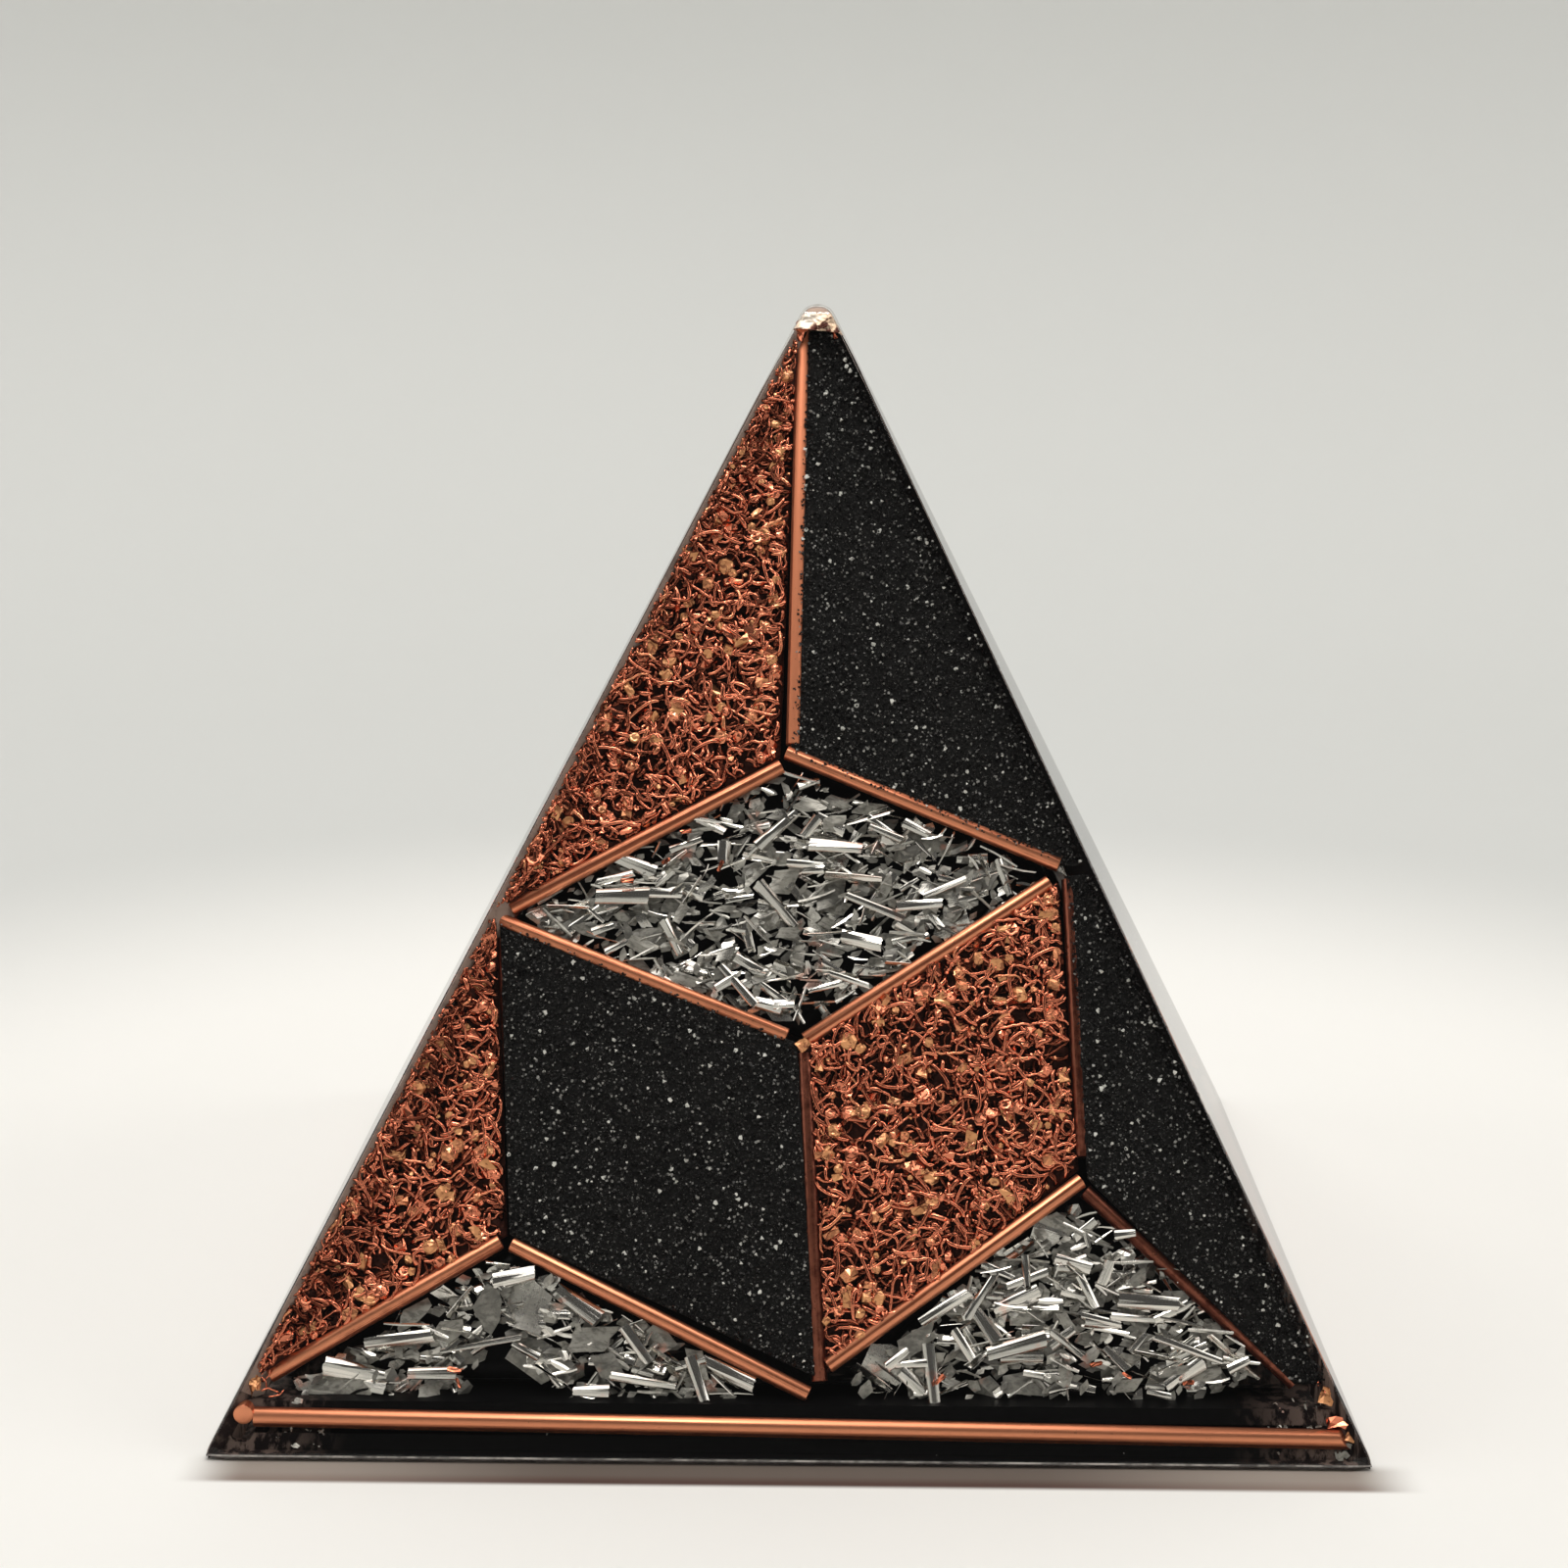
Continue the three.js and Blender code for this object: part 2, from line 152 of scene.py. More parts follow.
# Larger curls of each heap: place in shares, heading in radians, length and width in mm, and tone
CURL_ROWS = {
    "shavings_diamond": (
        (-0.324, 0.456, 0.0, 5.5, 1.84, 0.1), (-0.252, 0.458, -0.05, 4.0, 1.16, 0.2),
        (-0.233, 0.486, 0.44, 3.1, 1.16, 0.15), (-0.143, 0.493, 1.4, 2.4, 1.74, 0.4),
        (-0.047, 0.513, 0.73, 5.7, 1.35, 0.1), (0.012, 0.515, 0.87, 2.5, 1.16, 0.2),
        (0.059, 0.498, -0.09, 5.5, 1.45, 0.1), (0.09, 0.471, -0.26, 6.0, 1.74, 0.0),
        (0.005, 0.483, -0.09, 3.9, 0.97, 0.2), (-0.046, 0.449, -0.87, 6.0, 1.35, 0.1),
        (0.133, 0.448, -0.38, 6.4, 0.97, 0.05), (0.212, 0.449, 0.05, 4.8, 1.16, 0.15),
        (0.329, 0.484, -1.4, 2.7, 1.06, 0.2), (0.11, 0.419, -0.31, 4.3, 1.74, 0.15),
        (-0.234, 0.421, -1.13, 3.9, 1.06, 0.1), (-0.11, 0.382, -0.87, 5.6, 0.97, 0.1),
        (-0.027, 0.366, 0.0, 2.1, 1.06, 0.2), (-0.424, 0.446, -0.17, 4.6, 0.87, 0.2),
        (-0.338, 0.471, 0.21, 3.9, 0.87, 0.15), (-0.213, 0.499, 0.35, 3.5, 0.87, 0.3),
        (0.15, 0.51, -0.42, 3.7, 0.77, 0.15), (0.258, 0.464, 0.38, 4.8, 0.77, 0.2),
        (0.198, 0.399, -0.14, 5.8, 0.68, 0.1), (0.09, 0.386, -0.35, 4.3, 0.68, 0.2),
    ),
    "shavings_lower_left": (
        (-0.369, 0.125, -0.61, 5.3, 1.93, 0.05), (-0.484, 0.145, 0.17, 4.3, 1.74, 0.25),
        (-0.577, 0.125, 0.7, 3.9, 1.16, 0.15), (-0.678, 0.095, 0.09, 6.8, 1.64, 0.05),
        (-0.752, 0.069, -0.21, 6.4, 2.13, 0.0), (-0.617, 0.07, 0.0, 4.8, 1.35, 0.15),
        (-0.266, 0.093, -0.96, 4.3, 1.26, 0.2), (-0.207, 0.081, -0.7, 5.3, 1.26, 0.15),
        (-0.105, 0.071, -0.49, 5.8, 1.93, 0.0), (-0.251, 0.064, -0.17, 6.6, 0.97, 0.1),
        (-0.535, 0.093, 0.17, 8.2, 0.68, 0.1), (-0.159, 0.067, -1.26, 4.6, 1.26, 0.2),
        (-0.414, 0.07, -0.7, 3.9, 0.77, 0.15),
    ),
    "shavings_lower_right": (
        (0.392, 0.095, 0.26, 6.0, 1.74, 0.0), (0.62, 0.129, -0.09, 6.0, 1.74, 0.0),
        (0.761, 0.088, -0.82, 6.6, 1.35, 0.05), (0.268, 0.124, 0.52, 5.8, 1.26, 0.15),
        (0.334, 0.135, 0.96, 6.0, 1.06, 0.2), (0.338, 0.112, -0.96, 4.1, 1.45, 0.15),
        (0.246, 0.071, -1.48, 6.3, 1.35, 0.1), (0.139, 0.067, -0.87, 4.3, 2.13, 0.3),
        (0.539, 0.115, -0.26, 4.1, 0.87, 0.1), (0.601, 0.116, -0.09, 5.3, 0.87, 0.1),
        (0.565, 0.086, -0.79, 3.1, 0.97, 0.1), (0.688, 0.093, -0.35, 7.2, 0.77, 0.1),
        (0.646, 0.086, -0.26, 7.0, 0.87, 0.15), (0.3, 0.095, -1.05, 3.5, 1.06, 0.1),
        (0.407, 0.153, -1.54, 3.1, 0.87, 0.2), (0.41, 0.147, 0.35, 4.4, 0.87, 0.2),
        (0.515, 0.137, -1.13, 3.5, 0.97, 0.2), (0.495, 0.151, -0.87, 2.9, 0.68, 0.2),
        (0.637, 0.058, -0.26, 2.5, 0.87, 0.15), (0.478, 0.096, -0.7, 3.9, 0.77, 0.1),
    ),
}

# Larger flat flakes of each heap, in the same terms
FLAKE_ROWS = {
    "shavings_diamond": (
        (0.056, 0.518, 0.0, 2.3, 1.74, 0.75), (0.011, 0.534, -0.26, 3.3, 1.55, 0.8),
        (-0.034, 0.469, 0.0, 3.1, 2.51, 0.8), (-0.02, 0.426, 0.0, 2.9, 1.06, 0.7),
        (-0.217, 0.443, 1.05, 2.5, 0.97, 0.75), (-0.175, 0.464, 0.52, 2.5, 0.87, 0.6),
        (0.052, 0.459, 0.35, 3.9, 2.51, 1.0), (-0.084, 0.435, 0.79, 2.5, 0.97, 0.7),
        (-0.285, 0.414, -0.52, 2.9, 1.55, 0.8), (0.152, 0.465, 1.05, 2.3, 1.06, 0.7),
        (0.293, 0.469, 0.7, 2.9, 0.87, 0.6), (-0.204, 0.386, -0.35, 3.9, 1.16, 0.85),
        (0.058, 0.399, 0.17, 2.3, 0.97, 0.7), (-0.383, 0.427, -0.52, 3.3, 1.35, 0.9),
        (-0.135, 0.407, 0.26, 2.3, 0.97, 0.6),
    ),
    "shavings_lower_left": (
        (-0.46, 0.126, 1.31, 5.3, 4.25, 0.6), (-0.526, 0.12, 1.05, 3.9, 2.9, 1.0),
        (-0.785, 0.057, -0.75, 5.6, 4.6, 0.7), (-0.341, 0.097, 0.05, 5.3, 2.32, 0.7),
        (-0.433, 0.08, -0.61, 6.0, 3.48, 0.95), (-0.598, 0.101, 0.09, 3.3, 2.32, 0.85),
        (-0.314, 0.076, -1.05, 3.5, 2.13, 1.0), (-0.619, 0.056, 0.17, 2.9, 1.55, 0.8),
        (-0.223, 0.099, -0.87, 2.9, 1.55, 0.9), (-0.658, 0.115, 0.52, 3.9, 1.74, 0.9),
        (-0.16, 0.079, -1.31, 3.5, 1.55, 0.75),
    ),
    "shavings_lower_right": (
        (0.179, 0.08, -0.44, 5.4, 3.29, 0.6), (0.407, 0.122, 0.0, 2.9, 2.71, 0.7),
        (0.584, 0.065, 0.09, 2.9, 1.16, 0.7), (0.475, 0.072, 1.22, 2.5, 1.55, 0.7),
        (0.423, 0.066, -0.05, 6.0, 2.13, 1.0), (0.71, 0.072, 0.17, 4.1, 1.35, 0.8),
        (0.217, 0.097, 0.52, 4.8, 1.93, 0.95), (0.478, 0.113, -1.05, 2.5, 0.97, 0.7),
        (0.438, 0.134, 1.4, 2.3, 1.16, 0.8), (0.663, 0.076, 0.09, 2.9, 0.97, 0.9),
    ),
}

# Rods that lie deeper and take a darker copper, with how much deeper in mm
SUNK_RODS = {"left": 0.45, "right": 0.25, "middle": 0.15, "corner_right": 0.6}

# Stretches of border whose filling reaches over its rod, with the gap left to the rod's axis
BURIED_RUNS = {
    frozenset(("left", "low_left")): 0.00015,
    frozenset(("low_right", "corner_right")): -0.00015,
    frozenset(("right", "low_right")): 0.00035,
    frozenset(("heart", "foot")): 0.00045,
}
OPEN_RUN = 0.0005

# Places of single bits on a side, in the same shares
COPPER_BIT_SHARES = (
    (0.26, 0.068), (0.528, 0.081), (0.581, 0.072), (0.687, 0.067), (-0.578, 0.072), (-0.57, 0.062),
    (-0.316, 0.467), (-0.213, 0.509), (-0.149, 0.48), (-0.247, 0.484),
)
TANGLE_SHARES = (
    (-0.916, 0.068), (-0.905, 0.061), (-0.894, 0.055), (-0.922, 0.062), (-0.902, 0.066), (-0.883, 0.052),
)
PALE_BIT_SHARES = ((-0.845, 0.047), (-0.843, 0.013), (0.953, 0.02), (0.949, 0.014), (0.94, 0.012))

# Larger bits of copper on a side, in the terms of the curls. The first and the last lie on the front only.
BLOCK_ROWS = (
    (0.938, 0.0375, 0.0, 2.0, 1.2, 0.78), (0.922, 0.058, 1.2, 1.8, 1.4, 0.97),
    (-0.92, 0.061, 1.4, 1.5, 1.0, 1.0), (0.01, 0.331, 0.6, 1.4, 1.2, 0.9),
    (-0.029, 0.953, 1.1, 1.7, 1.0, 0.55), (0.96, 0.0275, 1.2, 1.2, 0.9, 0.95),
)

# Where the fine crumbs of a side gather: middle and reach in shares, and how many
CRUMB_ROWS = (
    ((0.87, 0.035), (0.05, 0.02), 46), ((-0.85, 0.03), (0.05, 0.02), 16), ((0.0, 0.02), (0.6, 0.012), 14),
)

# How often a form is strewn anew where it doesn't fit, and how often it is pushed back in
STREW_TRIES = 4
PUSHES = 4

# How far the plane between two sides lies from their arris, for each unit of depth
MITRE = 0.81

# Thickness of the shavings and of the boards at the arrises
SHEET_THICKNESS = 0.06 * MM

# How far the shade before the foot reaches over the floor
FOOT_BAND = 4.2 * MM

# Steps from each point to the next that spread points evenly over a square
EVEN_STEPS = np.array((0.7548776662, 0.5698402910))

# Beds of filling on a side, each with its border knots anticlockwise seen from outside
BED_KNOTS = {
    "granules_upper_left": ("left", "crown", "summit", "arris_left_top", "arris_left_middle"),
    "sand_upper_right": ("crown", "right", "arris_right_middle", "arris_right_top", "summit"),
    "shavings_diamond": ("left", "heart", "right", "crown"),
    "sand_cube_left": ("left", "low_left", "foot", "heart"),
    "granules_cube_right": ("heart", "foot", "low_right", "right"),
    "granules_left": ("arris_left_middle", "arris_left_foot", "corner_left", "low_left", "left"),
    "sand_right": ("right", "low_right", "corner_right", "arris_right_foot", "arris_right_middle"),
    "shavings_lower_left": ("low_left", "corner_left", "foot"),
    "shavings_lower_right": ("low_right", "foot", "corner_right"),
}


def distance(name, description, default):
    return bpy.props.FloatProperty(
        name=name, description=description, default=default, min=0.0, unit="LENGTH", precision=5
    )


def number(name, description, default):
    return bpy.props.FloatProperty(name=name, description=description, default=default, min=0.0)


def share(name, description, default):
    return bpy.props.FloatProperty(
        name=name, description=description, default=default, min=0.0, max=1.0, subtype="FACTOR"
    )


def tint(name, description, default):
    return bpy.props.FloatVectorProperty(
        name=name, description=description, default=default, size=3, min=0.0, max=1.0, subtype="COLOR"
    )


class PyramidForm(bpy.types.PropertyGroup):
    """Sizes of the casting and its rods"""

    base_width: distance("Base width", "Width of the square base", SKIN_HIGH.x - SKIN_LOW.x)
    height: distance("Height", "Height of the sharp apex above the base", 0.1072)
    apex_lean: distance("Apex lean", "How far the apex lies to the right of the middle", 0.0022)
    tip_radius: distance("Tip radius", "Radius of the domed tip", 0.00205)
    arris_radius: distance("Arris radius", "Radius of the four sloping edges", 0.00045)
    foot_radius: distance("Foot radius", "Radius of the edge round the base", 0.0005)
    bed_depth: distance("Bed depth", "Resin over the fillings, square to a side", 0.0013)
    rod_diameter: distance("Rod diameter", "Diameter of the rods on the sides", 0.00152)
    base_rod_depth: distance("Base rod depth", "Resin over the middle of the base rods", 0.00128)
    base_rod_diameter: distance("Base rod diameter", "Diameter of the base rods", 0.0019)


class PyramidFilling(bpy.types.PropertyGroup):
    """Amounts and sizes of the loose fillings"""

    strand_diameter: distance("Strand diameter", "Thickness of a copper strand", 0.00037)
    strand_length: distance("Strand length", "Length of a copper strand along its curve", 0.0033)
    strand_density: number("Strand density", "Copper strands for each square millimetre", 2.1)
    nugget_density: number("Nugget density", "Cut copper bits for each square millimetre", 0.2)
    rim_density: number("Rim density", "Copper bits of each shape for each millimetre of arris", 0.75)
    grain_radius: distance("Grain radius", "Half the width of a sand grain", 0.00014)
    grain_density: number("Grain density", "Sand grains for each square millimetre", 8.6)
    crystal_density: number("Crystal density", "White crystals for each square millimetre", 0.13)
    curl_density: number("Curl density", "Curled shavings for each square millimetre", 0.1)
    flake_density: number("Flake density", "Flat flakes for each square millimetre", 0.11)
    sliver_density: number("Sliver density", "Thin slivers for each square millimetre", 0.4)
    hidden_share: share("Hidden sides", "Amount on the other three sides, of the front's", 0.49)


class PyramidFinish(bpy.types.PropertyGroup):
    """Colours of the finishes"""

    rod_copper: tint("Rod copper", "Drawn copper of the rods", (0.82, 0.31, 0.165))
    # Rod shade: tarnished streaks and specks, and also painted shade where a rod is seen aslant and painted
    # reflection bands along it
    rod_shade: tint("Rod shade", "Tarnished streaks on the rods", (0.24, 0.06, 0.028))
    # A darker copy of the rod copper for the sunk rods
    rod_darker_copper: tint("Filmed copper", "Copper under a film of dark resin", (0.27, 0.085, 0.05))
    granule_copper: tint("Granule copper", "Copper of the strands", (0.95, 0.3, 0.17))
    granule_gold: tint("Granule gold", "Bright cut faces of the copper", (1.0, 0.47, 0.205))
    # Granule shade serves as painted shade on the deeper strands and where strands and rods are seen aslant.
    # It is also the colour of dark specks, clouds and patches on the leaf
    granule_shade: tint("Granule shade", "Copper deep between the strands", (0.09, 0.02, 0.01))
    # A near-black sheet under the strands, painted shade for the deep gaps between them
    granule_gap_shade: tint("Granule ground", "Ground under the strands", (0.02, 0.006, 0.004))
    # Rim brown is kept pale to stand in for light coming through the clear arris: partly painted light
    rim_brown: tint("Rim brown", "Dull brown resin along the arrises", (0.34, 0.255, 0.215))
    sand_black: tint("Sand black", "Black grains", (0.002, 0.002, 0.002))
    sand_grey: tint("Sand grey", "Grey grains", (0.38, 0.38, 0.365))
    sand_white: tint("Sand white", "White crystals", (0.85, 0.86, 0.82))
    shaving_bright: tint("Shaving bright", "Bright aluminium", (0.78, 0.765, 0.72))
    shaving_dull: tint("Shaving dull", "Dull aluminium", (0.4, 0.39, 0.35))
    shaving_dark: tint("Shaving dark", "Shaded and stained aluminium", (0.1, 0.098, 0.09))
    resin_black: tint("Black resin", "Black pour and core", (0.003, 0.003, 0.0033))
    resin_brown: tint("Brown resin", "Brown streaks in the black pour", (0.15, 0.11, 0.095))
    resin_plum: tint("Plum resin", "Thin dark resin at the foot", (0.018, 0.011, 0.011))
    resin_edge: tint("Resin edge", "Tint where the clear layer is seen aslant", (0.62, 0.4, 0.32))
    # Foot sheen: painted reflection on the rounded foot
    foot_sheen: tint("Foot sheen", "Grey sheen on the rounded foot", (0.09, 0.08, 0.078))
    # Foot line: painted highlight along the top of the rounded foot
    foot_highlight_grey: tint("Foot line", "Pale line above the rounded foot", (0.6, 0.57, 0.54))
    resin_clear: tint("Clear resin", "Tint of the clear outer layer", (0.97, 0.96, 0.945))
    leaf_gold: tint("Leaf gold", "Metal leaf in the tip", (0.85, 0.6, 0.4))
    leaf_pale: tint("Leaf pale", "Smooth pale parts of the leaf", (0.86, 0.76, 0.66))
    leaf_brown: tint("Leaf brown", "Brown resin over the top of the leaf", (0.25, 0.16, 0.11))
    floor_white: tint("Floor", "Pale floor round the object", (0.9, 0.885, 0.85))
    foot_grey: tint("Foot shade", "Shade before the middle of the foot", (0.13, 0.103, 0.085))
    foot_brown: tint("Foot shade edge", "Brown outer edge of that shade", (0.08, 0.04, 0.03))
    foot_pale: tint("Foot shade ends", "Shade before the ends of the foot", (0.33, 0.28, 0.24))
    foot_tan: tint("Foot shade end edge", "Outer edge of the shade at its ends", (0.25, 0.19, 0.16))
    # Backdrop grey is painted shade: the floor turns greyer far from the object, standing in for the dimmer
    # backdrop
    backdrop_grey: tint("Backdrop", "Paler grey far from the object", (0.62, 0.625, 0.606))


class Side:
    """A sloping side, with x along its foot, y up the slope and z out of the casting"""

    def __init__(self, name, start, end, apex):
        middle = (start + end) / 2
        self.name = name
        self.half = (end - start).length / 2
        self.along = (end - start).normalized()
        rise = apex - middle
        self.normal = self.along.cross(rise).normalized()
        self.up = self.normal.cross(self.along)
        self.lean = rise.dot(self.along)
        self.slant = rise.dot(self.up)
        columns = Matrix((self.along, self.up, self.normal)).transposed()
        self.matrix = Matrix.Translation(middle) @ columns.to_4x4()

    def flat(self, shares):
        across, up = shares
        return np.array((across * self.half + up * self.lean, up * self.slant))

    def point(self, shares, depth):
        return Vector((*self.flat(shares), -depth))

    def spots(self, places, depth):
        return np.array([(*self.flat(place), -depth) for place in places])


def sides_of(form):
    half = form.base_width / 2
    corners = [Vector(c) for c in ((-half, -half, 0), (half, -half, 0), (half, half, 0), (-half, half, 0))]
    apex = Vector((form.apex_lean, 0, form.height))
    return [Side(name, corners[i], corners[(i + 1) % 4], apex) for i, name in enumerate(SIDE_NAMES)]


class Bed:
    """The border of one bed of filling, flat on its side"""

    def __init__(self, side, name, pile=None):
        knots = BED_KNOTS[name]
        shares = pile or [KNOT_SHARES[knot] for knot in knots]
        self.corners = np.array([side.flat(place) for place in shares])
        ends = np.roll(self.corners, -1, axis=0)
        runs = ends - self.corners
        self.normals = np.stack((runs[:, 1], -runs[:, 0]), axis=1)
        self.normals /= np.linalg.norm(self.normals, axis=1)[:, None]
        self.offsets = (self.normals * self.corners).sum(axis=1)
        self.arris = np.zeros(len(shares))
        self.rim = None
        if not pile:
            following = knots[1:] + knots[:1]
            for i, pair in enumerate(zip(knots, following)):
                self.arris[i] = pair[0].startswith("arris") and pair[1].startswith("arris")
                if self.arris[i]:
                    self.rim = (self.corners[i], runs[i], self.normals[i])
                else:
                    self.offsets[i] -= BURIED_RUNS.get(frozenset(pair), OPEN_RUN)
        self.low = self.corners.min(axis=0)
        self.high = self.corners.max(axis=0)
        turned = runs[:, 0] * self.corners[:, 1] - runs[:, 1] * self.corners[:, 0]
        self.area = abs(turned.sum()) / 2

    def limits(self, depth):
        """How far each border lets a form reach that goes down to a depth"""
        return self.offsets - MITRE * np.multiply.outer(depth, self.arris)

    def holds(self, points):
        return (points @ self.normals.T <= self.offsets).all(axis=-1)

    def from_arris(self, points):
        """Distance from the nearest arris in this border, large where it has none"""
        away = self.offsets - points @ self.normals.T
        return np.where(self.arris > 0, away, 1.0).min(axis=-1)

    def rim_length(self):
        return np.linalg.norm(self.rim[1]) if self.rim else 0.0

    def spread_rim(self, count, rng, width):
        """Places along the arris of this border, within a width of it"""
        corner, run, normal = self.rim
        along = (np.arange(count) + rng.random(count))[:, None] / count
        return corner + along * run - normal * rng.uniform(0.2, 1.0, (count, 1)) * width

    def spread(self, count, rng):
        """Even but irregular places inside the border"""
        box = np.prod(self.high - self.low)
        wanted = int(count * box / self.area * 1.15) + 8
        unit = (rng.random(2) + np.arange(wanted)[:, None] * EVEN_STEPS) % 1.0
        unit += rng.normal(0, 0.35, (wanted, 2)) / math.sqrt(wanted)
        places = self.low + unit * (self.high - self.low)
        return rng.permutation(places[self.holds(places)])[:count]


# Modelling helpers


def object_mode():
    if bpy.context.mode != "OBJECT":
        bpy.ops.object.mode_set(mode="OBJECT")


def edit_all():
    """Goes to edit mode, with everything selected"""
    if bpy.context.mode == "OBJECT":
        bpy.ops.object.mode_set(mode="EDIT")
    bpy.ops.mesh.select_all(action="SELECT")


def clear_selection():
    object_mode()
    bpy.ops.object.select_all(action="DESELECT")


def start(primitive, **settings):
    """Adds a primitive, alone selected, in edit mode"""
    clear_selection()
    primitive(enter_editmode=True, **settings)
    return bpy.context.object


def stretch(x, y, z=1.0, **settings):
    bpy.ops.transform.resize(value=(x, y, z), **settings)


def extrude(*step):
    bpy.ops.mesh.extrude_region_move(TRANSFORM_OT_translate={"value": step})


def cut(point, normal, **settings):
    """Cuts everything along a plane"""
    bpy.ops.mesh.select_all(action="SELECT")
    bpy.ops.mesh.bisect(plane_co=point, plane_no=normal, **settings)


def cut_off(point, normal):
    """Cuts away what lies beyond a plane and closes the cut"""
    cut(point, normal, use_fill=True, clear_outer=True)


def choose(piece, kind, test):
    """Selects in edit mode only what passes the test, among verts, edges or faces"""
    bpy.ops.mesh.select_mode(type={"verts": "VERT", "edges": "EDGE", "faces": "FACE"}[kind])
    bpy.ops.mesh.select_all(action="DESELECT")
    form = bmesh.from_edit_mesh(piece.data)
    form.normal_update()
    for item in getattr(form, kind):
        item.select_set(bool(test(item)))
    form.select_flush_mode()
    bmesh.update_edit_mesh(piece.data)


def face_outwards():
    bpy.ops.mesh.select_mode(type="FACE")
    bpy.ops.mesh.select_all(action="SELECT")
    bpy.ops.mesh.normals_make_consistent(inside=False)


def rise_of(edge):
    return abs(edge.verts[0].co.z - edge.verts[1].co.z)


def finish_modifier(piece, kind, **settings):
    """Adds a modifier to the active piece and applies it"""
    object_mode()
    bpy.ops.object.modifier_add(type=kind)
    modifier = piece.modifiers[-1]
    for name, value in settings.items():
        setattr(modifier, name, value)
    bpy.ops.object.modifier_apply(modifier=modifier.name)


def crumple(piece, name, size, strength, **settings):
    """Displaces the active piece by clouds of a size"""
    clouds = bpy.data.textures.new(name, "CLOUDS")
    clouds.noise_scale = size
    finish_modifier(
        piece, "DISPLACE", texture=clouds, texture_coords="LOCAL", strength=strength, **settings
    )


def shade_by_angle(degrees):
    bpy.ops.object.shade_smooth_by_angle(angle=math.radians(degrees))


def call(piece, name):
    piece.name = piece.data.name = name


def settle(piece, matrix=None):
    """Back to object mode, with the place in the mesh"""
    object_mode()
    if matrix is not None:
        piece.matrix_world = matrix @ piece.matrix_world
    bpy.ops.object.transform_apply(location=True, rotation=True, scale=True)


def numbers(items, name, width=1, kind=np.float64):
    found = np.empty(len(items) * width, kind)
    items.foreach_get(name, found)
    return found.reshape(-1, width) if width > 1 else found


def join(pieces, name):
    clear_selection()
    for piece in pieces:
        piece.select_set(True)
    bpy.context.view_layer.objects.active = pieces[0]
    bpy.ops.object.join()
    call(pieces[0], name)
    return pieces[0]


def dress(piece, materials, slot, *nodes):
    """Gives a finished piece its materials, its body and the nodes it stands for"""
    for material in materials:
        piece.data.materials.append(material)
    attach(piece, BODY)
    if nodes:
        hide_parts(*nodes)


class Shape:
    """A small form modelled once, taken from its object, which goes"""

    def __init__(self, piece):
        object_mode()
        mesh = piece.data
        self.points = numbers(mesh.vertices, "co", 3)
        self.corners = numbers(mesh.loops, "vertex_index", 1, np.int32)
        self.sizes = numbers(mesh.polygons, "loop_total", 1, np.int32)
        self.smooth = numbers(mesh.polygons, "use_smooth", 1, bool)
        self.across = self.points[:, 1].copy()
        bpy.data.objects.remove(piece)
        bpy.data.meshes.remove(mesh)

    def turn(self, angle, axis):
        self.points = self.points @ np.array(Matrix.Rotation(angle, 3, axis)).T

    def centre(self):
        self.points -= (self.points.min(axis=0) + self.points.max(axis=0)) / 2
        return self


class Heap:
    """Copies of shapes, gathered into the mesh of one piece"""

    def __init__(self):
        self.parts = []
        self.total = 0

    def add(self, shape, turns, places, tones, material=0):
        points = np.einsum("kij,pj->kpi", turns, shape.points) + places[:, None, :]
        self.add_points(shape, points, tones, material)

    def add_ground(self, ground):
        """Adds the ground of a bed as it is, in the second material"""
        self.add(ground, np.eye(3)[None], np.zeros((1, 3)), np.zeros(1), 1)

    def add_points(self, shape, points, tones, material=0):
        count = len(points)
        firsts = self.total + np.arange(count) * len(shape.points)
        self.total += count * len(shape.points)
        self.parts.append((
            points.reshape(-1, 3),
            (shape.corners[None, :] + firsts[:, None]).ravel(),
            np.tile(shape.sizes, count),
            np.tile(shape.smooth, count),
            np.repeat(tones, len(shape.points)),
            np.tile(shape.across, count),
            np.full(count * len(shape.sizes), material),
        ))

    def make(self, name, matrix):
        rows = [np.concatenate(row) for row in zip(*self.parts)]
        points, corners, sizes, smooth, tones, across, materials = rows
        mesh = bpy.data.meshes.new(name)
        mesh.vertices.add(self.total)
        mesh.vertices.foreach_set("co", points.ravel())
        mesh.loops.add(len(corners))
        mesh.loops.foreach_set("vertex_index", corners)
        mesh.polygons.add(len(sizes))
        mesh.polygons.foreach_set("loop_start", np.cumsum(sizes) - sizes)
        mesh.polygons.foreach_set("material_index", materials)
        mesh.update(calc_edges=True)
        mesh.polygons.foreach_set("use_smooth", smooth)
        for attribute, values in (("tone", tones), ("across", across)):
            layer = mesh.attributes.new(attribute, "FLOAT", "POINT")
            layer.data.foreach_set("value", values.astype(np.float32))
        mesh.transform(matrix)
        piece = bpy.data.objects.new(name, mesh)
        bpy.context.scene.collection.objects.link(piece)
        return piece


class Look:
    """How copies of a shape lie in a bed: depths of their tops, turns, sizes and tones.

    tops are the least and the most depth of their tops in mm, counted from the depth given with them.
    dip is the share of their own depth by which they keep inside the plane between two sides.
    rim_width is the width of the strip along the arris that takes them, or 0 for the whole bed.
    """

    spread = 9.0
    tilt = 0.1
    roll = 0.5
    flipped = 0.0
    sizes = (0.8, 1.2)
    stretch = (0.8, 1.2)
    tones = (0.0, 1.0)
    margin = 0.0
    looseness = 0.1 * MM
    rim_depth = 1.0
    rim_slope = 0.0
    dip = 1.0
    rim_width = 0.0
    material = 0

    def __init__(self, depth, tops, **changes):
        self.top, self.bottom = (depth + top * MM for top in tops)
        for name, value in changes.items():
            setattr(self, name, value)


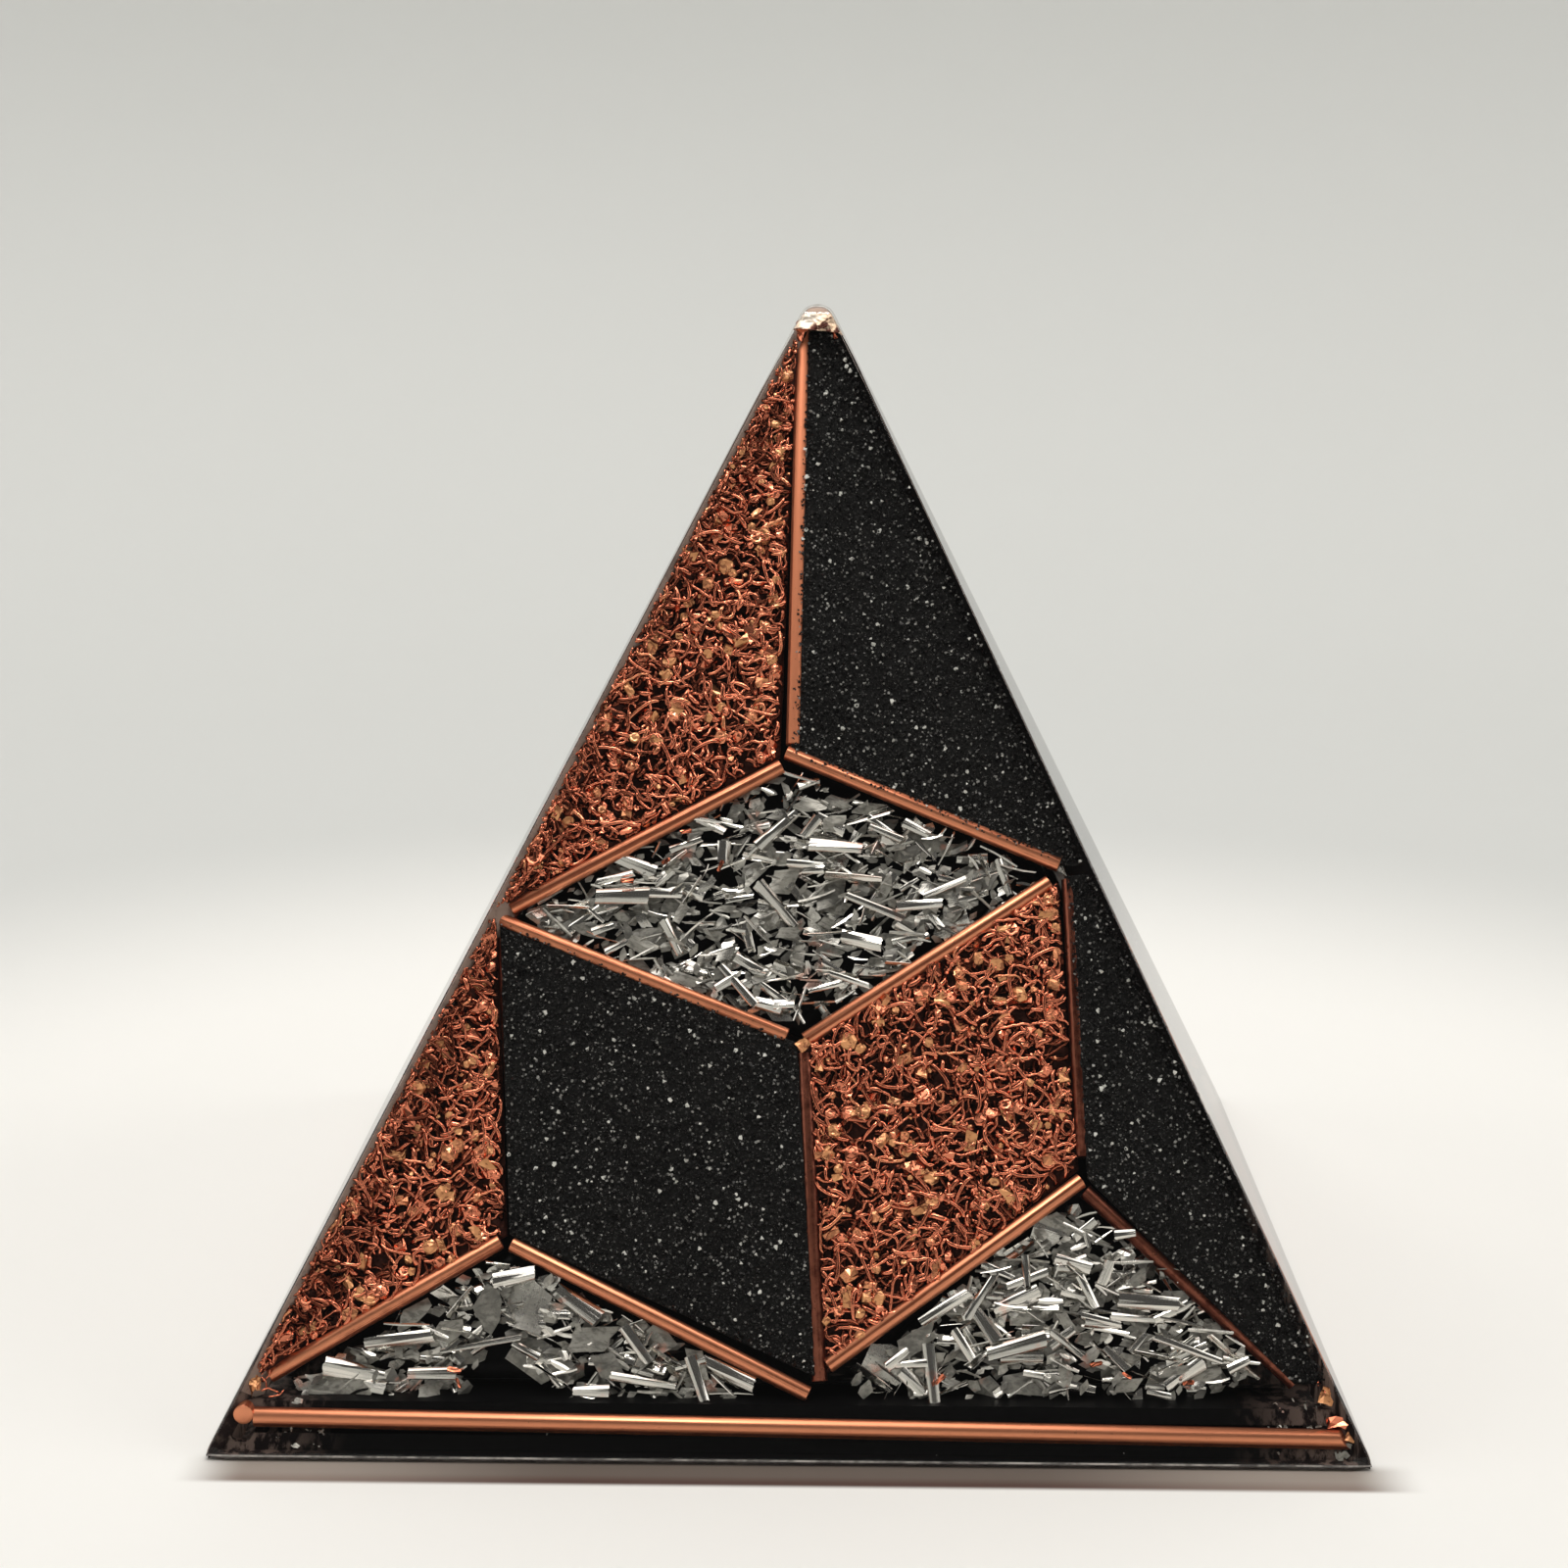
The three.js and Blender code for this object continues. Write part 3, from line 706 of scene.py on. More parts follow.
def turns_about(axis, angles):
    turns = np.tile(np.eye(3), (len(angles), 1, 1))
    second, third = (axis + 1) % 3, (axis + 2) % 3
    turns[:, second, second] = turns[:, third, third] = np.cos(angles)
    turns[:, third, second] = np.sin(angles)
    turns[:, second, third] = -np.sin(angles)
    return turns


def turn_matrices(about_z, about_y, about_x, scales):
    """Each copy's turn, about its own length first, then its tilt, then in the plane of the side"""
    turns = turns_about(2, about_z) @ turns_about(1, about_y) @ turns_about(0, about_x)
    return turns * scales[:, None, :]


def strew(heap, shape, bed, count, rng, look):
    """Strews copies of a shape over a bed, pushed back inside its border"""
    for attempt in range(STREW_TRIES):
        if count <= 0:
            break
        flat = bed.spread_rim(count, rng, look.rim_width) if look.rim_width else bed.spread(count, rng)
        main = math.atan2(bed.rim[1][1], bed.rim[1][0]) if look.rim_width else 0.0
        amount = len(flat)
        if amount == 0:
            continue
        scales = rng.uniform(*look.sizes, (amount, 1)) * np.ones((1, 3))
        scales[:, 0] *= rng.uniform(*look.stretch, amount) * (1 - 0.1 * attempt)
        heading = main + rng.normal(0, look.spread, amount) + math.pi * rng.integers(0, 2, amount)
        roll = rng.normal(0, look.roll, amount) + math.pi * (rng.random(amount) < look.flipped)
        turns = turn_matrices(heading, rng.normal(0, look.tilt, amount), roll, scales)
        deep = rng.uniform(look.top, look.bottom, amount)
        deep = np.minimum(deep, look.rim_depth + look.rim_slope * bed.from_arris(flat))
        points = np.einsum("kij,pj->kpi", turns, shape.points)
        points[:, :, :2] += flat[:, None, :]
        points[:, :, 2] -= (points[:, :, 2].max(axis=1) + deep)[:, None]
        limits = bed.limits(-points[:, :, 2].min(axis=1) * look.dip) - look.margin
        room = rng.exponential(look.looseness, (amount, 1))
        for _ in range(PUSHES):
            reach = (points[:, :, :2] @ bed.normals.T).max(axis=1) - limits
            points[:, :, :2] -= (np.maximum(reach + room, 0) @ bed.normals)[:, None, :]
        kept = (reach <= room + 0.02 * MM).all(axis=1)
        tones = rng.uniform(*look.tones, amount)
        if kept.any():
            heap.add_points(shape, points[kept], tones[kept], look.material)
        count -= int(kept.sum())


def bed_floor(bed, depth, thickness, cell, bump=0.0, seed=0, inset_depth=0.0):
    """The ground of a bed, cut along its border and closed below"""
    middle = (bed.low + bed.high) / 2
    span = bed.high - bed.low + 2 * MM
    columns, rows = [max(2, int(s / cell)) for s in span]
    piece = start(
        bpy.ops.mesh.primitive_grid_add, x_subdivisions=columns, y_subdivisions=rows, size=1.0,
        location=(*middle, -depth),
    )
    stretch(*span)
    for normal, offset in zip(bed.normals, bed.limits(inset_depth)):
        cut((*(normal * offset), 0.0), (*normal, 0.0), clear_outer=True)
    settle(piece)
    if bump > 0:
        crumple(piece, f"clouds_{seed}", cell * 1.6, bump, direction="Z")
    edit_all()
    extrude(0, 0, -thickness)
    face_outwards()
    object_mode()
    shade_by_angle(50)
    return Shape(piece)


def lift_rim(ground, bed, depth, rim_depth, rim_slope):
    """Raises the ground of a bed towards its arris"""
    rise = depth - rim_depth - rim_slope * bed.from_arris(ground.points[:, :2])
    ground.points[:, 2] += np.maximum(rise, 0)


def seam_shape():
    """A long thin board with dulled edges, one unit long, wide and thick"""
    piece = start(bpy.ops.mesh.primitive_cube_add, size=1.0)
    bpy.ops.mesh.bevel(offset=0.08, segments=1)
    face_outwards()
    return Shape(piece).centre()


def add_seam(heap, shape, side, heights, depths, lift, material):
    """Sets a thin board of dull resin where a side meets the one to its left"""
    first_point, last_point = side.spots([(height - 1, height) for height in heights], 0.0)
    run = last_point - first_point
    along = run / np.linalg.norm(run)
    inward = np.array((along[1] * MITRE, -along[0] * MITRE, -1.0))
    across = np.cross(inward, along) / np.linalg.norm(inward)
    across *= math.copysign(1.0, across[0])
    first, last = depths
    centre = (first_point + last_point) / 2 + inward * (first + last) / 2 + across * lift
    turns = np.stack((run, inward * (last - first), across * SHEET_THICKNESS), axis=1)
    turns = np.array(side.matrix.to_3x3()) @ turns
    centre = np.array(side.matrix @ Vector(centre))
    heap.add(shape, turns[None], centre[None], np.zeros(1), material)


# Shader graphs


class Socket:
    """A node's output in an expression, whose operators add Math nodes"""

    def __init__(self, graph, output):
        self.graph = graph
        self.output = output

    def math(self, operation, *others):
        values = dict(enumerate((self, *others)))
        return self.graph.add("ShaderNodeMath", {"operation": operation}, values, 0)

    def __add__(self, other):
        return self.math("ADD", other)

    def __sub__(self, other):
        return self.math("SUBTRACT", other)

    def __rsub__(self, other):
        return (self * -1.0) + other

    def __mul__(self, other):
        return self.math("MULTIPLY", other)

    __radd__ = __add__
    __rmul__ = __mul__


class Graph:
    """The node tree of one new material"""

    def __init__(self, name):
        self.material = bpy.data.materials.new(name)
        self.material.use_nodes = True
        self.tree = self.material.node_tree
        self.tree.nodes.clear()

    def node(self, kind, settings, inputs):
        node = self.tree.nodes.new(kind)
        for name, value in settings.items():
            setattr(node, name, value)
        for name, value in inputs.items():
            if isinstance(value, Socket):
                self.tree.links.new(value.output, node.inputs[name])
            else:
                node.inputs[name].default_value = value
        return node

    def add(self, kind, settings, inputs, output):
        """Adds a node and gives one of its outputs, by name or place"""
        return Socket(self, self.node(kind, settings, inputs).outputs[output])

    def place(self, scale=(1.0, 1.0, 1.0), source="Object"):
        coordinates = self.add("ShaderNodeTexCoord", {}, {}, source)
        inputs = {"Vector": coordinates, "Scale": scale}
        return self.add("ShaderNodeMapping", {}, inputs, "Vector")

    def split(self, vector):
        """The three numbers of a vector"""
        node = self.node("ShaderNodeSeparateXYZ", {}, {"Vector": vector})
        return [Socket(self, output) for output in node.outputs]

    def noise(self, scale, detail, roughness, vector=None):
        inputs = {"Scale": scale, "Detail": detail, "Roughness": roughness}
        inputs["Vector"] = vector or self.place()
        return self.add("ShaderNodeTexNoise", {}, inputs, "Fac")

    def steps(self, value, low, high):
        inputs = {"Value": value, "From Min": low, "From Max": high}
        settings = {"interpolation_type": "SMOOTHSTEP"}
        return self.add("ShaderNodeMapRange", settings, inputs, "Result")

    def attribute(self, name):
        settings = {"attribute_type": "GEOMETRY", "attribute_name": name}
        return self.add("ShaderNodeAttribute", settings, {}, "Fac")

    def aslant(self, low, high):
        """0 where a face is seen square and 1 where it is seen along, between two steps"""
        facing = self.add("ShaderNodeLayerWeight", {}, {"Blend": 0.5}, "Facing")
        return self.steps(facing, low, high)

    def mix(self, factor, first, second):
        inputs = {0: factor, 6: colour(first), 7: colour(second)}
        return self.add("ShaderNodeMix", {"data_type": "RGBA"}, inputs, 2)

    def layers(self, base, *layers):
        """Mixes further colours over a base, each by its own factor"""
        for factor, over in layers:
            base = self.mix(factor, base, over)
        return base

    def bump(self, height, strength, reach):
        inputs = {"Height": height, "Strength": strength, "Distance": reach * MM}
        return self.add("ShaderNodeBump", {}, inputs, "Normal")

    def finish(self, base, roughness, **others):
        """Ends in a Principled shader. In its inputs' names, _ stands for a space"""
        inputs = {name.replace("_", " "): value for name, value in others.items()}
        inputs.update({"Base Color": base, "Roughness": roughness})
        self.end(self.add("ShaderNodeBsdfPrincipled", {}, inputs, "BSDF"))
        return self.material

    def end(self, shader):
        self.node("ShaderNodeOutputMaterial", {}, {"Surface": shader})


def colour(value):
    return value if isinstance(value, Socket) else (*value, 1.0)


def rod_material(finish, name, roughness):
    graph = Graph(name)
    around = graph.place((11.0, 0.25, 1.0), "UV")
    lines = graph.noise(1.0, 3.0, 0.55, around)
    stains = graph.noise(330.0, 4.0, 0.65)
    specks = graph.noise(2600.0, 2.0, 0.5)
    drawn = graph.steps(graph.split(graph.place(source="UV"))[1], 0.49, 0.5)
    # Lengthwise drawing lines, set dark and strong so that they also stand in for the reflection bands along
    # a rod: partly painted reflection
    mask = graph.steps(lines * 0.85 + stains * 0.15, 0.48, 0.57) * drawn
    dark = graph.steps(specks, 0.62, 0.74) * graph.steps(stains, 0.52, 0.64)
    base = finish.rod_copper
    # The rod shade goes over the lines, over tarnish specks and, as painted shade, over the parts of a rod
    # seen aslant
    for factor in (mask * 0.85, dark * 0.5, graph.aslant(0.45, 0.9) * 0.75):
        base = graph.mix(factor, base, finish.rod_shade)
    normal = graph.bump(lines * drawn, 0.6, 0.04)
    return graph.finish(base, mask * 0.1 + roughness, Metallic=0.85, Normal=normal)


def darker_rod_material(finish):
    graph = Graph("filmed_copper")
    cloud = graph.noise(900.0, 4.0, 0.65)
    lines = graph.noise(1.0, 3.0, 0.55, graph.place((10.0, 0.3, 1.0), "UV"))
    mask = graph.steps(cloud * 0.4 + lines * 0.6, 0.44, 0.58)
    shade = finish.granule_shade
    # Dark clouds and lines, and painted shade where the rod is seen aslant
    base = graph.layers(finish.rod_darker_copper, (mask, shade), (graph.aslant(0.3, 0.8), shade))
    normal = graph.bump(lines, 0.8, 0.06)
    return graph.finish(base, 0.22 + cloud * 0.15, Metallic=0.8, Normal=normal)


def granule_material(finish):
    graph = Graph("copper_granules")
    tone = graph.attribute("tone")
    cloud = graph.noise(1400.0, 3.0, 0.6)
    scratches = graph.noise(1100.0, 2.0, 0.6, graph.place((1.0, 4.0, 1.0)))
    worn = graph.steps(tone + (cloud - 0.5) * 0.15, 0.8, 0.92)
    # Low tones, given to the deeper strands, and the parts seen aslant get the granule shade: painted shade
    base = graph.layers(
        finish.granule_shade,
        (graph.steps(tone, 0.02, 0.78), finish.granule_copper),
        (worn, finish.granule_gold),
        (worn * graph.steps(scratches, 0.54, 0.6) * 0.75, finish.rod_shade),
        (graph.steps(cloud, 0.58, 0.72) * 0.5, finish.granule_shade),
        (graph.aslant(0.2, 0.6) * 0.9, finish.granule_shade),
    )
    normal = graph.bump(scratches, 0.8, 0.06)
    return graph.finish(base, 0.15 + cloud * 0.14, Metallic=1.0 - worn * 0.6, Normal=normal)


# Near-black ground under the strands, which paints the shade in the gaps between them
def granule_gap_shade_material(finish):
    graph = Graph("copper_ground")
    cloud = graph.noise(1500.0, 3.0, 0.6)
    base = graph.mix(cloud, finish.granule_shade, finish.granule_gap_shade)
    return graph.finish(base, 0.5, Metallic=0.7, Normal=graph.bump(cloud, 0.8, 0.3))


# Dull brown resin of the arris boards, pale partly as painted light through the clear rim
def rim_material(finish):
    graph = Graph("brown_rim")
    streaks = graph.noise(420.0, 4.0, 0.7)
    fine = graph.noise(2600.0, 2.0, 0.6)
    base = graph.layers(
        finish.rim_brown,
        (graph.steps(streaks, 0.45, 0.7) * 0.7, finish.resin_brown),
        (graph.steps(fine, 0.64, 0.72) * 0.6, finish.granule_shade),
    )
    return graph.finish(base, 0.3 + streaks * 0.2)


def sand_material(finish):
    graph = Graph("black_sand")
    tone = graph.attribute("tone")
    base = graph.layers(
        finish.sand_black,
        (graph.steps(tone, 0.64, 0.8), finish.sand_grey),
        (graph.steps(tone, 0.86, 0.92), finish.sand_white),
    )
    cloud = graph.noise(3000.0, 2.0, 0.5)
    return graph.finish(base, 0.2 + cloud * 0.25, Specular_IOR_Level=0.35)


def sand_ground_material(finish):
    graph = Graph("sand_ground")
    fine = graph.noise(5200.0, 2.0, 0.7)
    cloud = graph.noise(300.0, 3.0, 0.6)
    specks = graph.steps(fine + (cloud - 0.5) * 0.1, 0.64, 0.74)
    base = graph.mix(specks, finish.sand_black, finish.sand_grey)
    return graph.finish(base, 0.5, Normal=graph.bump(fine, 0.9, 0.2), Specular_IOR_Level=0.15)


def shaving_material(finish):
    graph = Graph("aluminium_shavings")
    tone = graph.attribute("tone")
    across = {"X": graph.attribute("across") * 4200.0, "Y": tone * 90.0}
    line = graph.add("ShaderNodeCombineXYZ", {}, across, "Vector")
    streaks = graph.noise(1.0, 2.0, 0.6, line)
    cloud = graph.noise(700.0, 3.0, 0.6)
    grain = graph.noise(1300.0, 3.0, 0.6, graph.place((1.0, 4.0, 1.0)))
    stain = graph.steps(graph.noise(260.0, 3.0, 0.6), 0.62, 0.7)
    dull = graph.steps(tone + (cloud - 0.5) * 0.2, 0.45, 0.75)
    base = graph.layers(
        finish.shaving_bright,
        (dull, finish.shaving_dull),
        (graph.steps(tone + (cloud - 0.5) * 0.5, 0.8, 1.1) * 0.8, finish.shaving_dark),
        (graph.steps(streaks, 0.52, 0.78) * 0.5, finish.shaving_dark),
        (dull * graph.steps(grain, 0.44, 0.66) * 0.6, finish.shaving_dark),
        (stain * 0.3, finish.granule_copper),
    )
    roughness = 0.13 + dull * 0.25 + streaks * 0.05
    normal = graph.bump(streaks * 0.5 + cloud * dull * 2.0, 0.4, 0.06)
    return graph.finish(base, roughness, Metallic=1.0 - dull * 0.55, Normal=normal)


def black_material(finish, half_width):
    graph = Graph("black_resin")
    streaks = graph.noise(900.0, 4.0, 0.65, graph.place((1.0, 1.0, 0.12)))
    cloud = graph.noise(160.0, 3.0, 0.6)
    x, y, height = graph.split(graph.place())
    across = x.math("ABSOLUTE")
    inner = across.math("MINIMUM", y.math("ABSOLUTE"))
    corner = graph.steps(inner, half_width * 0.74, half_width * 0.95)
    mask = graph.steps(streaks * 0.85 + cloud * 0.15, 0.46, 0.58) * corner
    ripples = graph.steps(graph.noise(2600.0, 2.0, 0.5, graph.place((0.16, 0.16, 1.0))), 0.6, 0.68)
    band = graph.steps(height, 4.8 * MM, 5.6 * MM) * (1.0 - graph.steps(height, 7.2 * MM, 8.5 * MM))
    middle = (across - half_width * 0.18).math("ABSOLUTE")
    band = band * (1.0 - graph.steps(middle, half_width * 0.1, half_width * 0.25))
    base = graph.layers(
        finish.resin_black,
        (corner * 0.5, finish.resin_plum),
        (mask, finish.resin_brown),
        (ripples * band * 0.3, finish.resin_brown),
    )
    return graph.finish(base, 0.25 + cloud * 0.2, Specular_IOR_Level=0.05)


def clouded_material(name, scale, roughness, steps, colours, gloss, specular, squash=1.0):
    """Resin whose two colours meet in clouds"""
    graph = Graph(name)
    cloud = graph.noise(scale, 4.0, roughness, graph.place((1.0, 1.0, squash)))
    base = graph.mix(graph.steps(cloud, *steps), *colours)
    return graph.finish(base, gloss[0] + cloud * gloss[1], Specular_IOR_Level=specular)


def plum_material(finish):
    colours = (finish.resin_plum, finish.resin_brown)
    return clouded_material("plum_resin", 500.0, 0.65, (0.45, 0.7), colours, (0.2, 0.2), 0.2)


# The dark sole, clouded with the foot sheen as painted reflection
def foot_material(finish):
    colours = (finish.resin_plum, finish.foot_sheen)
    return clouded_material("dark_foot", 260.0, 0.65, (0.42, 0.66), colours, (0.25, 0.2), 0.5, 0.2)


# The painted highlight line along the top of the rounded foot
def foot_highlight_line_material(finish):
    colours = (finish.foot_highlight_grey, finish.foot_sheen)
    return clouded_material("pale_line", 300.0, 0.7, (0.35, 0.65), colours, (0.3, 0.1), 0.5)


def leaf_material(finish, lean):
    graph = Graph("metal_leaf")
    x, _, height = graph.split(graph.place())
    slanted = height - (x - lean) * 0.6
    crumples = graph.noise(1100.0, 4.0, 0.6)
    cloud = graph.noise(420.0, 3.0, 0.6)
    low, high = LEAF_LOW.z, LEAF_HIGH.z
    smooth = graph.steps(slanted + (cloud - 0.5) * MM, low + 0.6 * MM, low + 1.5 * MM)
    crumpled = 1.0 - smooth
    top = graph.steps(height + (cloud - 0.5) * (0.8 * MM), high - 0.8 * MM, high - 0.3 * MM)
    base = graph.layers(
        finish.leaf_pale,
        (graph.steps(cloud, 0.4, 0.7), finish.leaf_gold),
        (crumpled * 0.7, finish.leaf_gold),
        (crumpled * graph.steps(crumples, 0.5, 0.6), finish.granule_shade),
        (top, finish.leaf_brown),
    )
    normal = graph.bump(crumples * (0.15 + crumpled), 0.6, 0.3)
    return graph.finish(base, 0.3 + cloud * 0.15, Metallic=0.55, Normal=normal)


def resin_material(finish):
    graph = Graph("clear_resin")
    normal = graph.bump(graph.noise(45.0, 2.0, 0.5), 0.02, 4.0)
    tinted = graph.mix(graph.aslant(0.7, 1.0), finish.resin_clear, finish.resin_edge)
    through = graph.add("ShaderNodeBsdfTransparent", {}, {"Color": tinted}, "BSDF")
    gloss = graph.add("ShaderNodeBsdfGlossy", {}, {"Roughness": 0.03, "Normal": normal}, "BSDF")
    fresnel = graph.add("ShaderNodeFresnel", {}, {"IOR": 1.5}, "Fac")
    inside = graph.add("ShaderNodeNewGeometry", {}, {}, "Backfacing")
    inputs = {0: fresnel * (1.0 - inside), 1: through, 2: gloss}
    graph.end(graph.add("ShaderNodeMixShader", {}, inputs, "Shader"))
    return graph.material


def floor_material(finish, half_width, near, far):
    """Pale near the object and painted greyer far off, a painted shade for the dimmer backdrop, with the
    painted shadow that the foot throws forward
    """
    graph = Graph("pale_floor")
    place = graph.place((1, 1, 0))
    length = graph.add("ShaderNodeVectorMath", {"operation": "LENGTH"}, {0: place}, "Value")
    x, y, _ = graph.split(place)
    reach = y * -1.0 - half_width
    sideways = (x - MM).math("ABSOLUTE")
    ends = 1.0 - graph.steps(sideways, half_width * 0.93, half_width * 1.06)
    middle = 1.0 - graph.steps(sideways, half_width * 0.35, half_width * 0.88)
    outer = 1.0 - graph.steps(reach, FOOT_BAND * 0.82, FOOT_BAND * 1.04)
    line = graph.steps(reach, FOOT_BAND * 0.4, FOOT_BAND * 0.85)
    inner_shade = graph.mix(middle, finish.foot_pale, finish.foot_grey)
    outer_shade = graph.mix(middle, finish.foot_tan, finish.foot_brown)
    # Greyer with distance: painted shade for the dimmer backdrop
    base = graph.mix(graph.steps(length, near, far), finish.floor_white, finish.backdrop_grey)
    shade = graph.mix(line, inner_shade, outer_shade)
    base = graph.mix(ends * graph.steps(reach, -2 * MM, 0.0) * outer, base, shade)
    return graph.finish(base, 0.6, Specular_IOR_Level=0.3)


# Small shapes of the fillings


def strand_shape(length, diameter, segments, bend, seed):
    """A curly strand of cut wire, extruded ring by ring"""
    rng = np.random.default_rng(seed)
    sides = 5
    piece = start(
        bpy.ops.mesh.primitive_circle_add, vertices=sides, radius=diameter / 2, fill_type="NGON",
        rotation=(0, math.pi / 2, 0),
    )
    settle(piece)
    edit_all()
    place = Vector((0, 0, 0))
    heading = 0.0
    sway = rng.normal(0, bend)
    for segment in range(segments):
        change = sway + rng.normal(0, bend)
        heading += change
        lift = rng.normal(0, 0.12)
        step = Vector((math.cos(heading), math.sin(heading), lift)) * (length / segments)
        extrude(*step)
        place = place + step
        bpy.ops.transform.rotate(value=-change, orient_axis="Z", center_override=place)
        size = rng.uniform(0.85, 1.18) if segment < segments - 1 else 0.6
        stretch(size, size, size, center_override=place)
    face_outwards()
    object_mode()
    for face in piece.data.polygons:
        face.use_smooth = len(face.vertices) == 4
    shape = Shape(piece).centre()
    ends = shape.points[-sides:].mean(axis=0) - shape.points[:sides].mean(axis=0)
    shape.turn(-math.atan2(ends[1], ends[0]), "Z")
    return shape.centre()


def nugget_shape(width, thickness, sides, seed):
    """A short bit of thick wire, cut square, with its rims and faces dented"""
    piece = start(
        bpy.ops.mesh.primitive_cylinder_add, vertices=sides, radius=width / 2, depth=thickness
    )
    dent = width * 0.09
    choose(piece, "edges", lambda edge: rise_of(edge) < thickness / 2)
    bpy.ops.mesh.bevel(offset=dent, segments=1)
    bpy.ops.mesh.select_all(action="SELECT")
    bpy.ops.transform.vertex_random(offset=dent, uniform=0.3, seed=seed)
    choose(piece, "faces", lambda face: len(face.verts) > 4 and face.normal.z > 0.5)
    bpy.ops.mesh.inset(thickness=width * 0.1, depth=0.0)
    bpy.ops.mesh.poke(offset=dent)
    face_outwards()
    return Shape(piece).centre()


def bit_shape(length, width, seed):
    """A torn bit of copper, thicker in the middle"""
    piece = start(bpy.ops.mesh.primitive_cube_add, size=1.0)
    stretch(length, width, width * 0.6)
    bpy.ops.mesh.subdivide(number_cuts=1)
    bpy.ops.transform.vertex_random(offset=width * 0.3, uniform=0.3, seed=seed)
    face_outwards()
    return Shape(piece).centre()


def grain_shape(radius, seed):
    """A sand grain with six facets"""
    piece = start(
        bpy.ops.mesh.primitive_uv_sphere_add, segments=3, ring_count=2, radius=radius * 1.05
    )
    bpy.ops.transform.vertex_random(offset=radius * 0.45, uniform=0.2, seed=seed)
    face_outwards()
    return Shape(piece).centre()


def start_sheet(columns, rows, length, width):
    """A flat grid, left in edit mode"""
    piece = start(
        bpy.ops.mesh.primitive_grid_add, x_subdivisions=columns, y_subdivisions=rows, size=1.0
    )
    stretch(length, width)
    return piece


def smooth_sheet(piece):
    """Gives a thin sheet its thickness, with smooth faces and a sharp rim"""
    finish_modifier(piece, "SOLIDIFY", thickness=SHEET_THICKNESS, offset=0.0)
    finish_modifier(piece, "EDGE_SPLIT", split_angle=math.radians(20))
    bpy.ops.object.shade_smooth()
    return Shape(piece).centre()


def curl_shape(length, radius, angle, twist, seed):
    """A curled strip, spun from its long edge, with slanting torn ends"""
    rng = np.random.default_rng(seed)
    piece = start_sheet(4, 1, length, radius)
    choose(piece, "verts", lambda vertex: vertex.co.y < 0)
    bpy.ops.mesh.delete(type="VERT")
    bpy.ops.mesh.select_mode(type="EDGE")
    bpy.ops.mesh.select_all(action="SELECT")
    bpy.ops.transform.translate(value=(0, -radius / 2, 0))
    bpy.ops.mesh.spin(steps=12, angle=angle, center=(0, 0, -radius), axis=(1, 0, 0))
    object_mode()
    slant, flare, phase = rng.normal(0, 0.3, 3)
    for vertex in piece.data.vertices:
        along = vertex.co.x / length
        y, z = vertex.co.y, vertex.co.z + radius
        turn = math.atan2(y, z)
        wave = 0.035 * math.sin(5.5 * turn + 9 * phase) + 0.015 * math.sin(13 * turn)
        size = math.hypot(y, z) * (1 + flare * along + wave)
        turn += twist * along
        vertex.co.x += slant * y + rng.normal(0, 0.02) * length * abs(along)
        vertex.co.y = size * math.sin(turn)
        vertex.co.z = size * math.cos(turn)
    edit_all()
    bpy.ops.mesh.normals_make_consistent(inside=False)
    shape = smooth_sheet(piece)
    shape.across = np.arctan2(shape.points[:, 1], shape.points[:, 2]) * radius
    middle = shape.points.mean(axis=0)
    shape.turn(math.atan2(middle[1], middle[2]), "X")
    return shape.centre()


def flake_shape(length, width, bend, seed, cells=(5, 4)):
    """A torn flake with straight sides, bent, creased and a little rumpled"""
    rng = np.random.default_rng(seed)
    piece = start_sheet(*cells, length, width)
    for corner in range(4):
        angle = math.pi / 2 * corner + rng.uniform(0.35, 1.2)
        outward = Vector((math.cos(angle), math.sin(angle), 0.0))
        reach = (abs(outward.x) * length + abs(outward.y) * width) / 2
        reach *= rng.uniform(0.5, 0.72) if corner % 2 else rng.uniform(0.95, 1.15)
        cut(outward * reach, outward, clear_outer=True)
    object_mode()
    slant = rng.uniform(0.0, math.pi)
    for vertex in piece.data.vertices:
        crease = abs(vertex.co.x * math.cos(slant) + vertex.co.y * math.sin(slant))
        vertex.co.z = bend * (vertex.co.x / length) ** 2 * length - crease * 0.22
        vertex.co.z += rng.normal(0, 0.005) * width
    return smooth_sheet(piece)


def sliver_shape(length, width, bend, seed):
    """A thin pointed sliver, creased along its middle"""
    piece = start_sheet(3, 2, length, width)
    bpy.ops.transform.vertex_random(offset=width * 0.2, uniform=0.2, seed=seed)
    object_mode()
    for vertex in piece.data.vertices:
        along = vertex.co.x / length
        vertex.co.y *= 1 - 1.3 * abs(along) ** 2
        vertex.co.z = -abs(vertex.co.y) * 0.5 + bend * along**2 * length
    return smooth_sheet(piece)


def shapes_of(model, rows, *others, first_seed=1):
    """Shapes whose rows give two sizes in mm and what else their model asks for"""
    return [
        model(size * MM, other_size * MM, *terms, seed, *others)
        for seed, (size, other_size, *terms) in enumerate(rows, first_seed)
    ]


def place_chips(heap, shapes, side, rows, depths, rng):
    """Sets chips at given places, each the next of the shapes, turned and sized as its row says"""
    for i, (across, up, heading, length, width, tone) in enumerate(rows):
        shape = shapes[i % len(shapes)]
        extent = np.ptp(shape.points, axis=0)
        scales = np.array([[length * MM / extent[0]] + [width * MM / extent[1]] * 2])
        leans = rng.normal(0, 0.1, (2, 1))
        turn = turn_matrices(np.array([heading]), leans[0], leans[1], scales)[0]
        points = shape.points @ turn.T + side.spots([(across, up)], 0.0)
        points[:, 2] -= points[:, 2].max() + rng.uniform(*depths)
        heap.add_points(shape, points[None], np.array([tone]))


# Operators


